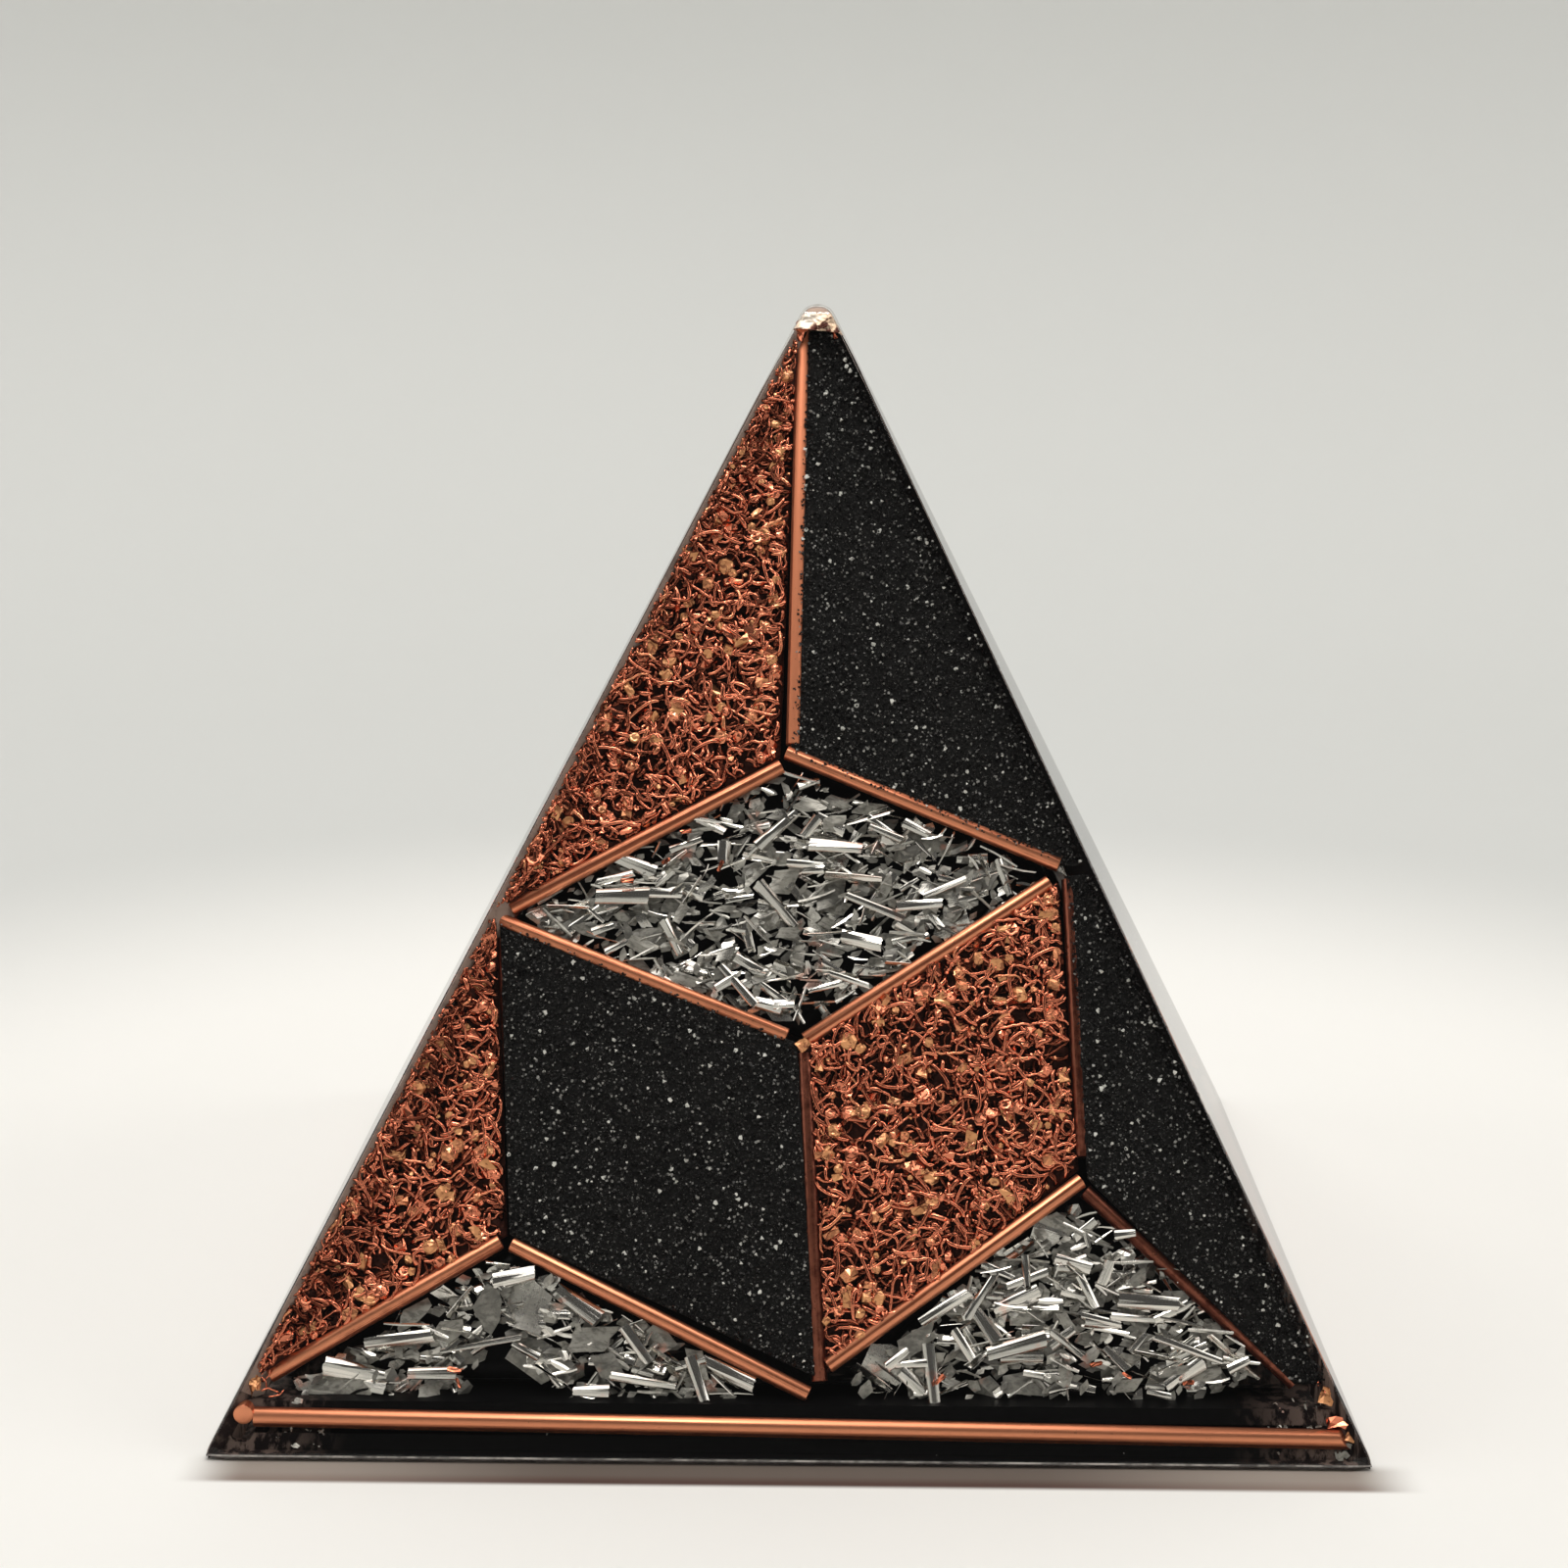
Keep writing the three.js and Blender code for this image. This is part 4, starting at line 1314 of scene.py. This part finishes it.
def settings_of(context):
    scene = context.scene
    return scene.pyramid_form, scene.pyramid_filling, scene.pyramid_finish


def beds_of(context, kind, first_seed):
    """The beds of one kind on every side, each with its area in square mm and its own draws and heap"""
    form, filling, _ = settings_of(context)
    seed = first_seed
    for side in sides_of(form):
        amount = 1.0 if side.name == "front" else filling.hidden_share
        for name in BED_KNOTS:
            if name.startswith(kind):
                bed = Bed(side, name)
                yield side, name, bed, amount, np.random.default_rng(seed), Heap()
                seed += 1


def make_filling(heap, side, bed_name, suffix, materials, slot):
    """The piece of one filled bed, which stands for the bed's node"""
    node = f"{side.name}_{bed_name}"
    dress(heap.make(f"{node}_{suffix}", side.matrix), materials, slot, node)


class PYRAMID_OT_stage(bpy.types.Operator):
    """Camera, pale floor with its rim, and soft studio light"""

    bl_idname = "pyramid.stage"
    bl_label = "Stage"

    def execute(self, context):
        scene = context.scene
        camera = bpy.data.objects.new("camera", bpy.data.cameras.new("camera"))
        camera.data.lens = 63.0
        camera.data.sensor_width = 36.0
        camera.data.clip_start = 0.01
        camera.location = (0.00484, -0.2914, 0.1154)
        camera.rotation_euler = Euler((math.radians(77.99), 0.0, math.radians(1.22)))
        scene.collection.objects.link(camera)
        scene.camera = camera
        self.make_floor(scene.pyramid_finish)
        self.make_lights(scene)
        scene.world = bpy.data.worlds.new("studio")
        scene.world.use_nodes = True
        background = scene.world.node_tree.nodes["Background"]
        background.inputs["Color"].default_value = (1.0, 0.98, 0.95, 1.0)
        background.inputs["Strength"].default_value = 0.07
        scene.view_settings.view_transform = "Standard"
        scene.view_settings.look = "None"
        return {"FINISHED"}

    def make_floor(self, finish):
        """A wide disc that curves up into a low wall all round"""
        flat_radius, sweep_radius, wall_height, steps = 0.37, 0.2, 0.05, 10
        floor = start(
            bpy.ops.mesh.primitive_circle_add, vertices=96, radius=flat_radius, fill_type="NGON"
        )
        for step in range(1, steps + 1):
            before = math.pi / 2 * (step - 1) / steps
            after = math.pi / 2 * step / steps
            out = sweep_radius * (math.sin(after) - math.sin(before))
            reach = flat_radius + sweep_radius * math.sin(before)
            extrude(0, 0, sweep_radius * (math.cos(before) - math.cos(after)))
            grow = (reach + out) / reach
            stretch(grow, grow)
        extrude(0, 0, wall_height)
        bpy.ops.mesh.delete(type="ONLY_FACE")
        face_outwards()
        bpy.ops.mesh.flip_normals()
        settle(floor)
        bpy.ops.object.shade_smooth()
        floor.name = "floor"
        floor.data.materials.append(floor_material(finish, SKIN_HIGH.x, near=0.11, far=0.23))

    def make_lights(self, scene):
        """Soft lights, each with its place, aim, size and power. The glint shows only in reflections"""
        lights = {
            "softbox_top": ((-0.03, 0.14, 0.74), (0.0, 0.02, 0.0), 1.0, 7.3),
            "softbox_left": ((-0.75, -0.15, 0.35), (0.0, 0.0, 0.04), 0.6, 1.4),
            "softbox_right": ((0.75, -0.1, 0.35), (0.0, 0.0, 0.04), 0.6, 2.3),
            "glint": ((-0.03, -0.17, 0.66), (0.0, 0.0, 0.04), 0.1, 0.7),
        }
        for name, (place, aim, size, power) in lights.items():
            lamp = bpy.data.lights.new(name, "AREA")
            lamp.size = size
            lamp.energy = power
            lamp.color = (1.0, 0.985, 0.96)
            light = bpy.data.objects.new(name, lamp)
            light.location = place
            light.rotation_euler = (Vector(aim) - Vector(place)).to_track_quat("-Z", "Y").to_euler()
            light.visible_camera = False
            light.visible_diffuse = name != "glint"
            scene.collection.objects.link(light)


def model_casting(form, inset):
    """The rounded pyramid with its sides moved in by a distance, left in edit mode"""
    slope = math.atan2(form.base_width / 2, form.height)
    half = form.base_width / 2 - inset / math.cos(slope)
    height = form.height - inset / math.sin(slope)
    tip_radius = form.tip_radius - inset
    steps = 6
    flat_top = 0.06
    piece = start(
        bpy.ops.mesh.primitive_cone_add, vertices=4, radius1=half * math.sqrt(2), depth=height,
        location=(0, 0, height / 2), rotation=(0, 0, math.pi / 4),
    )
    settle(piece)
    edit_all()
    choose(piece, "verts", lambda vertex: vertex.co.z > half)
    bpy.ops.transform.translate(value=(form.apex_lean, 0, 0))
    dome_centre = height - tip_radius / math.sin(slope)
    cut_off((0, 0, dome_centre + tip_radius * math.sin(slope)), (0, 0, 1))
    choose(piece, "edges", lambda edge: rise_of(edge) > half)
    bpy.ops.mesh.bevel(
        offset=form.arris_radius * MITRE, offset_type="OFFSET", segments=6, clamp_overlap=False
    )
    choose(piece, "faces", lambda face: face.normal.z > 0.99)
    turn = slope
    for step in range(1, steps + 1):
        after = slope + (math.pi / 2 - slope) * step / steps
        if step == steps:
            after = math.pi / 2 - flat_top
        lift = tip_radius * (math.sin(after) - math.sin(turn))
        extrude(form.apex_lean / height * lift, 0, lift)
        shrink = math.cos(after) / math.cos(turn)
        level = dome_centre + tip_radius * math.sin(after)
        stretch(shrink, shrink, center_override=(form.apex_lean * level / height, 0, level))
        turn = after
    return piece


def round_foot_corners(piece, form):
    """Marks patches off at the four foot corners and draws them inwards, the lowest part most"""
    near = form.base_width / 2 - 2.4 * MM
    cuts = [(axis, near * sign) for axis in (0, 1) for sign in (-1, 1)]
    for axis, place in cuts + [(2, 1.3 * MM), (2, 0.85 * MM)]:
        normal = Vector((0, 0, 0))
        normal[axis] = 1.0
        cut(normal * place, normal)
    near += 0.01 * MM
    for level, shrink in ((1.0, 0.9993), (0.6, 0.9982), (0.3, 0.9955), (0.1, 0.992)):
        choose(
            piece, "verts",
            lambda vertex: vertex.co.z < level * MM and min(abs(vertex.co.x), abs(vertex.co.y)) > near,
        )
        stretch(shrink, shrink, center_override=(0, 0, 0))


class PYRAMID_OT_resin(bpy.types.Operator):
    """Clear outer layer with rounded arrises, foot and tip"""

    bl_idname = "pyramid.resin"
    bl_label = "Clear resin"

    def execute(self, context):
        form, _, finish = settings_of(context)
        piece = model_casting(form, 0.0)
        choose(piece, "edges", lambda edge: all(vertex.co.z < 0.1 * MM for vertex in edge.verts))
        bpy.ops.mesh.bevel(offset=form.foot_radius, segments=4, clamp_overlap=False)
        round_foot_corners(piece, form)
        face_outwards()
        settle(piece)
        shade_by_angle(35)
        finish_modifier(piece, "WEIGHTED_NORMAL", keep_sharp=True)
        call(piece, "clear_resin")
        dress(piece, [resin_material(finish)], "clear_resin", "clear_resin_skin")
        return {"FINISHED"}


class PYRAMID_OT_black(bpy.types.Operator):
    """Black pour and core, which keep their own shape"""

    bl_idname = "pyramid.black"
    bl_label = "Black resin"

    def execute(self, context):
        form, _, finish = settings_of(context)
        material = black_material(finish, form.base_width / 2)
        for node in ("black_base_pour", "black_core"):
            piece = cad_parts[node]
            piece.data.materials.clear()
            piece.data.materials.append(material)
        return {"FINISHED"}


class PYRAMID_OT_seams(bpy.types.Operator):
    """Dull resin where the sides meet, and the black film under the foot with its painted sheen and
    highlight line
    """

    bl_idname = "pyramid.seams"
    bl_label = "Seams and sole"

    def execute(self, context):
        form, _, finish = settings_of(context)
        board = seam_shape()
        heap = Heap()
        edge = form.arris_radius * 0.24
        lift = SHEET_THICKNESS * 0.7
        deep, shallow = form.bed_depth * 1.9, form.bed_depth * 1.1
        for side in sides_of(form):
            add_seam(heap, board, side, (0.055, 0.955), (edge, deep), lift, 1)
            add_seam(heap, board, side, (-0.02, 0.955), (edge, deep), -lift, 0)
            add_seam(heap, board, side, (-0.02, 0.055), (edge, shallow), lift, 2)
        seams = heap.make("arris_seams", Matrix.Identity(4))
        half = form.base_width / 2
        materials = [black_material(finish, half), rim_material(finish), plum_material(finish)]
        clear_selection()
        seams.select_set(True)
        context.view_layer.objects.active = seams
        edit_all()
        cut_off((0, 0, SHEET_THICKNESS * 2), (0, 0, -1))
        round_foot_corners(seams, form)
        settle(seams)
        dress(seams, materials, "black_resin")
        self.make_foot(form, finish)
        return {"FINISHED"}

    def make_foot(self, form, finish):
        """A dark rounded sole close under the clear resin, with a painted sheen and a painted highlight line
        along its upper rim
        """
        half = form.base_width / 2
        low, high = SHEET_THICKNESS, form.foot_radius + SHEET_THICKNESS
        foot = start(bpy.ops.mesh.primitive_cube_add, size=1.0, location=(0, 0, (low + high) / 2))
        wide = (half - SHEET_THICKNESS) * 2
        stretch(wide, wide, high - low)
        choose(foot, "faces", lambda face: face.normal.z > 0.5)
        shrink = 1 - high / form.height
        stretch(shrink, shrink)
        choose(foot, "edges", lambda edge: rise_of(edge) > 0.5)
        bpy.ops.mesh.bevel(offset=form.arris_radius * 1.4, segments=6)
        settle(foot)
        edit_all()
        cut((0, 0, high - 1.6 * SHEET_THICKNESS), (0, 0, 1))
        choose(foot, "edges", lambda edge: all(vertex.co.z < low * 1.01 for vertex in edge.verts))
        bpy.ops.mesh.bevel(offset=form.foot_radius * 0.8, segments=4, clamp_overlap=False)
        round_foot_corners(foot, form)
        face_outwards()
        object_mode()
        # Side faces near the top of the sole get the painted highlight line, top faces the black resin
        line = low + (high - low) * 0.8
        for face in foot.data.polygons:
            if face.center.z > line:
                face.material_index = 1 if face.normal.z < 0.8 else 2
        shade_by_angle(40)
        call(foot, "black_sole")
        materials = [foot_material(finish), foot_highlight_line_material(finish), black_material(finish, half)]
        dress(foot, materials, "black_resin")


class PYRAMID_OT_leaf(bpy.types.Operator):
    """Crumpled metal leaf in the tip"""

    bl_idname = "pyramid.leaf"
    bl_label = "Metal leaf"

    def execute(self, context):
        form, _, finish = settings_of(context)
        piece = model_casting(form, 0.12 * MM)
        low = LEAF_LOW.z
        cut((0, 0, low), (0.12, 0.1, 1), use_fill=True, clear_inner=True)
        near = low + 0.5 * MM
        choose(piece, "edges", lambda edge: all(vertex.co.z < near for vertex in edge.verts))
        bpy.ops.mesh.subdivide(number_cuts=2)
        bpy.ops.transform.vertex_random(offset=0.2 * MM, uniform=0.2, seed=11)
        face_outwards()
        settle(piece)
        finish_modifier(piece, "REMESH", mode="VOXEL", voxel_size=0.1 * MM)
        crumple(piece, "folds", 0.9 * MM, 0.2 * MM, mid_level=0.95)
        bpy.ops.object.shade_smooth()
        call(piece, "metal_leaf")
        dress(piece, [leaf_material(finish, form.apex_lean)], "metal_leaf", "tip_leaf")
        return {"FINISHED"}


def model_rod(side, ends, depth, diameter, number_of, name, snipped=False):
    """A cut length of drawn wire, with burred ends, and one end snipped aslant if asked"""
    first, last = (side.point(end, depth) for end in ends)
    length = (last - first).length
    piece = start(
        bpy.ops.mesh.primitive_cylinder_add, vertices=28, radius=diameter / 2, depth=length
    )
    choose(piece, "edges", lambda edge: rise_of(edge) < length / 2)
    bpy.ops.mesh.bevel(offset=diameter * 0.025, segments=2)
    for sign in (-1, 1):
        choose(piece, "faces", lambda face: len(face.verts) > 4 and face.normal.z * sign > 0.9)
        bpy.ops.mesh.inset(thickness=diameter * 0.16)
        bpy.ops.transform.translate(value=(0, 0, sign * diameter * 0.03))
    turn = (last - first).to_track_quat("Z", "Y").to_matrix().to_4x4()
    middle = Matrix.Translation((first + last) / 2)
    settle(piece, side.matrix @ middle @ turn @ Matrix.Rotation(number_of * 1.3, 4, "Z"))
    if snipped:
        edit_all()
        outward = (side.matrix.to_3x3() @ Vector((0.75, 0.35, 0.56))).normalized()
        cut_off(side.matrix @ last - outward * diameter * 0.1, outward)
        object_mode()
    shade_by_angle(50)
    call(piece, name)
    return piece


class PYRAMID_OT_rods(bpy.types.Operator):
    """Copper rods of the cube pattern on the four sides"""

    bl_idname = "pyramid.rods"
    bl_label = "Copper rods"

    def execute(self, context):
        form, _, finish = settings_of(context)
        bare = rod_material(finish, "drawn_copper", 0.3)
        dull = rod_material(finish, "dull_copper", 0.55)
        materials = {"top": dull, **dict.fromkeys(SUNK_RODS, darker_rod_material(finish))}
        for side in sides_of(form):
            front = side.name == "front"
            pieces = []
            shares = {**ROD_SHARES, **({} if front else HIDDEN_ROD_SHARES)}
            for i, (name, ends) in enumerate(shares.items()):
                depth = form.bed_depth + form.rod_diameter / 2 + SUNK_RODS.get(name, 0.0) * MM
                label = f"{side.name}_copper_{name}"
                rod = model_rod(side, ends, depth, form.rod_diameter, i, label)
                rod.data.materials.append(materials.get(name, bare))
                if front:
                    dress(rod, [], "copper_wire", f"front_rod_{name}")
                pieces.append(rod)
            if not front:
                joined = join(pieces, f"{side.name}_copper_rods")
                dress(joined, [], "copper_wire", f"{side.name}_rod_frame")
        return {"FINISHED"}


class PYRAMID_OT_base_rods(bpy.types.Operator):
    """Thicker copper rods round the base, each reaching past its left neighbour"""

    bl_idname = "pyramid.base_rods"
    bl_label = "Base rods"

    def execute(self, context):
        form, _, finish = settings_of(context)
        material = rod_material(finish, "base_copper", 0.3)
        for side in sides_of(form):
            name = side.name
            depth = form.base_rod_depth + BASE_ROD_SUNK.get(name, 0.0) * MM
            rod = model_rod(
                side, BASE_ROD_SHARES[name], depth, form.base_rod_diameter, 0, f"{name}_base_copper",
                snipped=name == "front",
            )
            dress(rod, [material], "copper_wire", f"base_rod_{name}")
        return {"FINISHED"}


class PYRAMID_OT_granules(bpy.types.Operator):
    """Copper strands and cut bits"""

    bl_idname = "pyramid.granules"
    bl_label = "Copper granules"

    def execute(self, context):
        form, filling, finish = settings_of(context)
        materials = [granule_material(finish), granule_gap_shade_material(finish)]
        strand_rows = (
            (1.0, 1.0, 8, 0.3), (1.25, 0.95, 9, 0.38), (0.75, 1.15, 6, 0.4), (0.5, 1.4, 4, 0.3),
            (1.1, 0.85, 8, 0.5), (0.45, 1.6, 3, 0.2), (0.65, 1.0, 6, 0.5), (0.6, 1.2, 5, 0.25),
        )
        strands = [
            strand_shape(filling.strand_length * long, filling.strand_diameter * thick, parts, bend, seed)
            for seed, (long, thick, parts, bend) in enumerate(strand_rows, 1)
        ]
        nuggets = shapes_of(nugget_shape, ((1.5, 0.7, 9), (1.15, 0.7, 7), (1.7, 0.6, 8)))
        nuggets += shapes_of(bit_shape, ((1.6, 0.9), (1.9, 0.65), (1.3, 1.0)), first_seed=4)
        crumbs = [bit_shape(0.6 * MM, 0.45 * MM, 7), nugget_shape(0.55 * MM, 0.4 * MM, 6, 8)]
        depth = form.bed_depth
        # Lower layers get lower tones, which the copper material paints darker: painted shade by depth
        low = Look(depth, (0.6, 0.9), tilt=0.05, tones=(0.0, 0.2))
        mid = Look(depth, (0.25, 0.55), tilt=0.05, tones=(0.12, 0.4))
        high = Look(depth, (-0.02, 0.14), tilt=0.04, tones=(0.4, 0.85), looseness=0.15 * MM)
        layers = ((0.12, low), (0.4, mid), (0.36, high))
        chopped = Look(
            depth, (-0.1, 0.1), tilt=0.25, roll=0.3, sizes=(0.6, 1.1), tones=(0.72, 1.0),
            looseness=0.3 * MM,
        )
        rim = Look(
            0.0, (0.2, 0.9), spread=0.4, tilt=0.08, rim_width=1.7 * MM, sizes=(0.45, 0.8),
            tones=(0.2, 0.9), looseness=0.0,
        )
        floor_depth = depth + 1.2 * MM
        for seed, (side, name, bed, amount, rng, heap) in enumerate(beds_of(context, "granules", 100)):
            for look in (low, mid, high, chopped, rim):
                look.rim_depth, look.rim_slope = 0.14 * MM, 0.55
                look.dip = 0.55 if side.name == "front" else 1.0
            # The ground under the strands paints the shade of the gaps between them
            ground = bed_floor(
                bed, floor_depth, thickness=0.25 * MM, cell=0.9 * MM, bump=0.25 * MM, seed=seed,
                inset_depth=1.25 * MM,
            )
            lift_rim(ground, bed, floor_depth, 0.38 * MM, 0.6)
            heap.add_ground(ground)
            area = bed.area / SQUARE_MM * amount
            for portion, look in layers:
                for shape in strands:
                    count = int(filling.strand_density * area * portion / len(strands))
                    strew(heap, shape, bed, count, rng, look)
            for shapes, portion in ((nuggets, 1.0), (crumbs, 0.5)):
                for shape in shapes:
                    count = int(filling.nugget_density * area * portion / len(shapes))
                    strew(heap, shape, bed, count, rng, chopped)
            short_strands = strands[3:]
            for shape in (*short_strands, *crumbs, *crumbs):
                count = int(filling.rim_density * bed.rim_length() / MM * amount)
                strew(heap, shape, bed, count, rng, rim)
            make_filling(heap, side, name, "strands", materials, "copper_granules")
        return {"FINISHED"}


class PYRAMID_OT_sand(bpy.types.Operator):
    """Black sand with grey and white grains"""

    bl_idname = "pyramid.sand"
    bl_label = "Black sand"

    def execute(self, context):
        form, filling, finish = settings_of(context)
        materials = [sand_material(finish), sand_ground_material(finish)]
        grains = [grain_shape(filling.grain_radius, seed) for seed in range(1, 6)]
        depth = form.bed_depth
        tumbled = {"tilt": 3.0, "roll": 3.0, "looseness": 0.0, "rim_slope": 0.5}
        common = Look(
            depth, (-0.15, 0.25), sizes=(0.55, 1.3), tones=(0.0, 0.8), rim_depth=0.25 * MM, **tumbled
        )
        pale = Look(
            depth, (-0.2, 0.1), sizes=(0.8, 1.9), tones=(0.9, 1.0), rim_depth=0.2 * MM, **tumbled
        )
        for seed, (side, name, bed, amount, rng, heap) in enumerate(beds_of(context, "sand", 200), 50):
            ground = bed_floor(
                bed, depth + 0.3 * MM, thickness=0.25 * MM, cell=0.8 * MM, bump=0.15 * MM, seed=seed,
                inset_depth=1.15 * MM,
            )
            lift_rim(ground, bed, depth, common.rim_depth, common.rim_slope)
            heap.add_ground(ground)
            share_of_area = bed.area / SQUARE_MM * amount / len(grains)
            for shape in grains:
                strew(heap, shape, bed, int(filling.grain_density * share_of_area), rng, common)
                strew(heap, shape, bed, int(filling.crystal_density * share_of_area), rng, pale)
            make_filling(heap, side, name, "grains", materials, "black_sand")
        return {"FINISHED"}


class PYRAMID_OT_shavings(bpy.types.Operator):
    """Aluminium curls, flakes and slivers over a black ground"""

    bl_idname = "pyramid.shavings"
    bl_label = "Aluminium shavings"

    def execute(self, context):
        form, filling, finish = settings_of(context)
        black = black_material(finish, form.base_width / 2)
        materials = [shaving_material(finish), black, granule_material(finish)]
        curl_rows = (
            (5.8, 1.3, 1.7, 0.15), (4.8, 1.1, 1.9, 0.3), (6.4, 0.85, 2.0, 0.2), (4.0, 1.5, 1.3, 0.4),
            (5.4, 0.7, 2.2, 0.5),
        )
        flake_rows = ((3.6, 2.4, 0.2), (2.8, 1.9, 0.28), (4.4, 1.6, 0.18), (2.6, 1.2, 0.15))
        sliver_rows = ((4.2, 0.45, 0.12), (3.0, 0.4, 0.2), (2.0, 0.6, 0.1), (5.0, 0.36, 0.1))
        curls = shapes_of(curl_shape, curl_rows)
        flakes = shapes_of(flake_shape, flake_rows)
        scraps = shapes_of(flake_shape, flake_rows, (3, 2))
        slivers = shapes_of(sliver_shape, sliver_rows)
        depth = form.bed_depth
        lying = Look(depth, (0.9, 2.0), spread=0.7, tilt=0.18, roll=0.3, sizes=(0.6, 1.1), tones=(0.5, 1.0))
        small = Look(depth, (0.6, 1.8), spread=0.7, tilt=0.2, roll=0.35, sizes=(0.25, 0.5), tones=(0.5, 1.1))
        rolled = Look(depth, (0.3, 1.4), spread=0.5, roll=0.3, sizes=(0.4, 0.8), tones=(0.0, 0.4))
        rolled.flipped = 0.25
        thin = Look(depth, (0.35, 1.6), spread=0.55, roll=0.8, sizes=(0.4, 1.0), tones=(0.1, 0.8))
        groups = (
            (flakes, filling.flake_density, lying),
            (scraps, filling.flake_density * 6.0, small),
            (curls, filling.curl_density, rolled),
            (slivers, filling.sliver_density, thin),
        )
        for _, _, look in groups:
            look.margin = -0.7 * MM
        for side, name, bed, amount, rng, heap in beds_of(context, "shavings", 300):
            heap.add_ground(bed_floor(bed, depth + 2.7 * MM, thickness=0.6 * MM, cell=3.0 * MM))
            for outline in PILE_SHARES[name]:
                pile = Bed(side, name, outline)
                area = pile.area / SQUARE_MM * amount
                for shapes, density, look in groups:
                    for shape in shapes:
                        strew(heap, shape, pile, int(density * area / len(shapes)) + 1, rng, look)
            deep = (depth + 0.45 * MM, depth + 0.9 * MM)
            place_chips(heap, flakes, side, FLAKE_ROWS[name], deep, rng)
            place_chips(heap, curls, side, CURL_ROWS[name], (depth, depth + 0.35 * MM), rng)
            make_filling(heap, side, name, "chips", materials, "aluminium_shavings")
        return {"FINISHED"}


class PYRAMID_OT_crumbs(bpy.types.Operator):
    """Stray copper bits, grey crumbs at the corners and small bubbles"""

    bl_idname = "pyramid.crumbs"
    bl_label = "Stray crumbs"

    def execute(self, context):
        form, _, finish = settings_of(context)
        materials = [granule_material(finish), shaving_material(finish), plum_material(finish)]
        strand = strand_shape(2.6 * MM, 0.34 * MM, 5, 0.5, 31)
        bit = bit_shape(1.3 * MM, 0.4 * MM, 33)
        blocks = [bit_shape(1.6 * MM, 1.2 * MM, 36), bit_shape(1.5 * MM, 1.3 * MM, 32)]
        flat_bit = flake_shape(1.0 * MM, 0.7 * MM, 0.1, 37)
        crumb = sliver_shape(0.9 * MM, 0.3 * MM, 0.1, 34)
        bubble = grain_shape(0.16 * MM, 35)
        depth = form.bed_depth
        groups = (
            (strand, TANGLE_SHARES, depth, 0.7, 0.8, 0),
            (flat_bit, PALE_BIT_SHARES, depth * 0.7, 0.9, 1.05, 1),
            (bit, COPPER_BIT_SHARES, depth * 0.95, 0.9, 0.7, 0),
        )
        for number_of, side in enumerate(sides_of(form)):
            rng = np.random.default_rng(400 + number_of)
            heap = Heap()
            for shape, places, deep, size, tone, material in groups:
                count = len(places)
                turns = turn_matrices(
                    rng.uniform(0, math.pi, count), rng.normal(0, 0.3, count),
                    rng.normal(0, 0.5, count), np.full((count, 3), size) * rng.uniform(0.8, 1.1, (count, 1)),
                )
                tones = rng.uniform(tone - 0.2, tone, count)
                heap.add(shape, turns, side.spots(places, deep), tones, material)
            rows = BLOCK_ROWS if side.name == "front" else BLOCK_ROWS[1:-1]
            place_chips(heap, blocks, side, rows, (depth * 0.3, depth * 0.45), rng)
            for middle, spread, count in CRUMB_ROWS:
                places = np.array(middle) + rng.uniform(-1, 1, (count, 2)) * spread
                spots = side.spots(places, depth * 0.93)
                sizes = np.ones((count, 3)) * rng.uniform(0.2, 0.9, (count, 1))
                turns = turn_matrices(
                    rng.uniform(0, math.pi, count), rng.normal(0, 0.2, count),
                    rng.normal(0, 0.4, count), sizes,
                )
                heap.add(crumb, turns, spots, rng.uniform(0.6, 1.0, count), 1)
                heap.add(bubble, turns[::4], spots[::-4], rng.uniform(0.7, 1.0, len(spots[::4])), 1)
            piece = heap.make(f"{side.name}_stray_crumbs", side.matrix)
            dress(piece, materials, "copper_granules")
        return {"FINISHED"}


class PYRAMID_PT_sidebar(bpy.types.Panel):
    """Lists the pieces of the pyramid"""

    bl_idname = "PYRAMID_PT_sidebar"
    bl_label = "Resin pyramid"
    bl_space_type = "VIEW_3D"
    bl_region_type = "UI"
    bl_category = "Pyramid"

    def draw(self, context):
        for operator in OPERATORS:
            self.layout.operator(operator.bl_idname)
        for group in settings_of(context):
            box = self.layout.box()
            for name in group.__annotations__:
                box.prop(group, name)


OPERATORS = (
    PYRAMID_OT_stage,
    PYRAMID_OT_resin,
    PYRAMID_OT_black,
    PYRAMID_OT_seams,
    PYRAMID_OT_leaf,
    PYRAMID_OT_rods,
    PYRAMID_OT_base_rods,
    PYRAMID_OT_granules,
    PYRAMID_OT_sand,
    PYRAMID_OT_shavings,
    PYRAMID_OT_crumbs,
)
GROUPS = {
    "pyramid_form": PyramidForm,
    "pyramid_filling": PyramidFilling,
    "pyramid_finish": PyramidFinish,
}


def register():
    for kind in (*GROUPS.values(), *OPERATORS, PYRAMID_PT_sidebar):
        bpy.utils.register_class(kind)
    for name, kind in GROUPS.items():
        setattr(bpy.types.Scene, name, bpy.props.PointerProperty(type=kind))


def unregister():
    for name in GROUPS:
        delattr(bpy.types.Scene, name)
    for kind in reversed((*GROUPS.values(), *OPERATORS, PYRAMID_PT_sidebar)):
        bpy.utils.unregister_class(kind)


def main():
    register()
    bpy.ops.pyramid.stage()
    bpy.ops.pyramid.resin()
    bpy.ops.pyramid.black()
    bpy.ops.pyramid.seams()
    bpy.ops.pyramid.leaf()
    bpy.ops.pyramid.rods()
    bpy.ops.pyramid.base_rods()
    bpy.ops.pyramid.granules()
    bpy.ops.pyramid.sand()
    bpy.ops.pyramid.shavings()
    bpy.ops.pyramid.crumbs()
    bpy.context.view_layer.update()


if __name__ == "__main__":
    main()
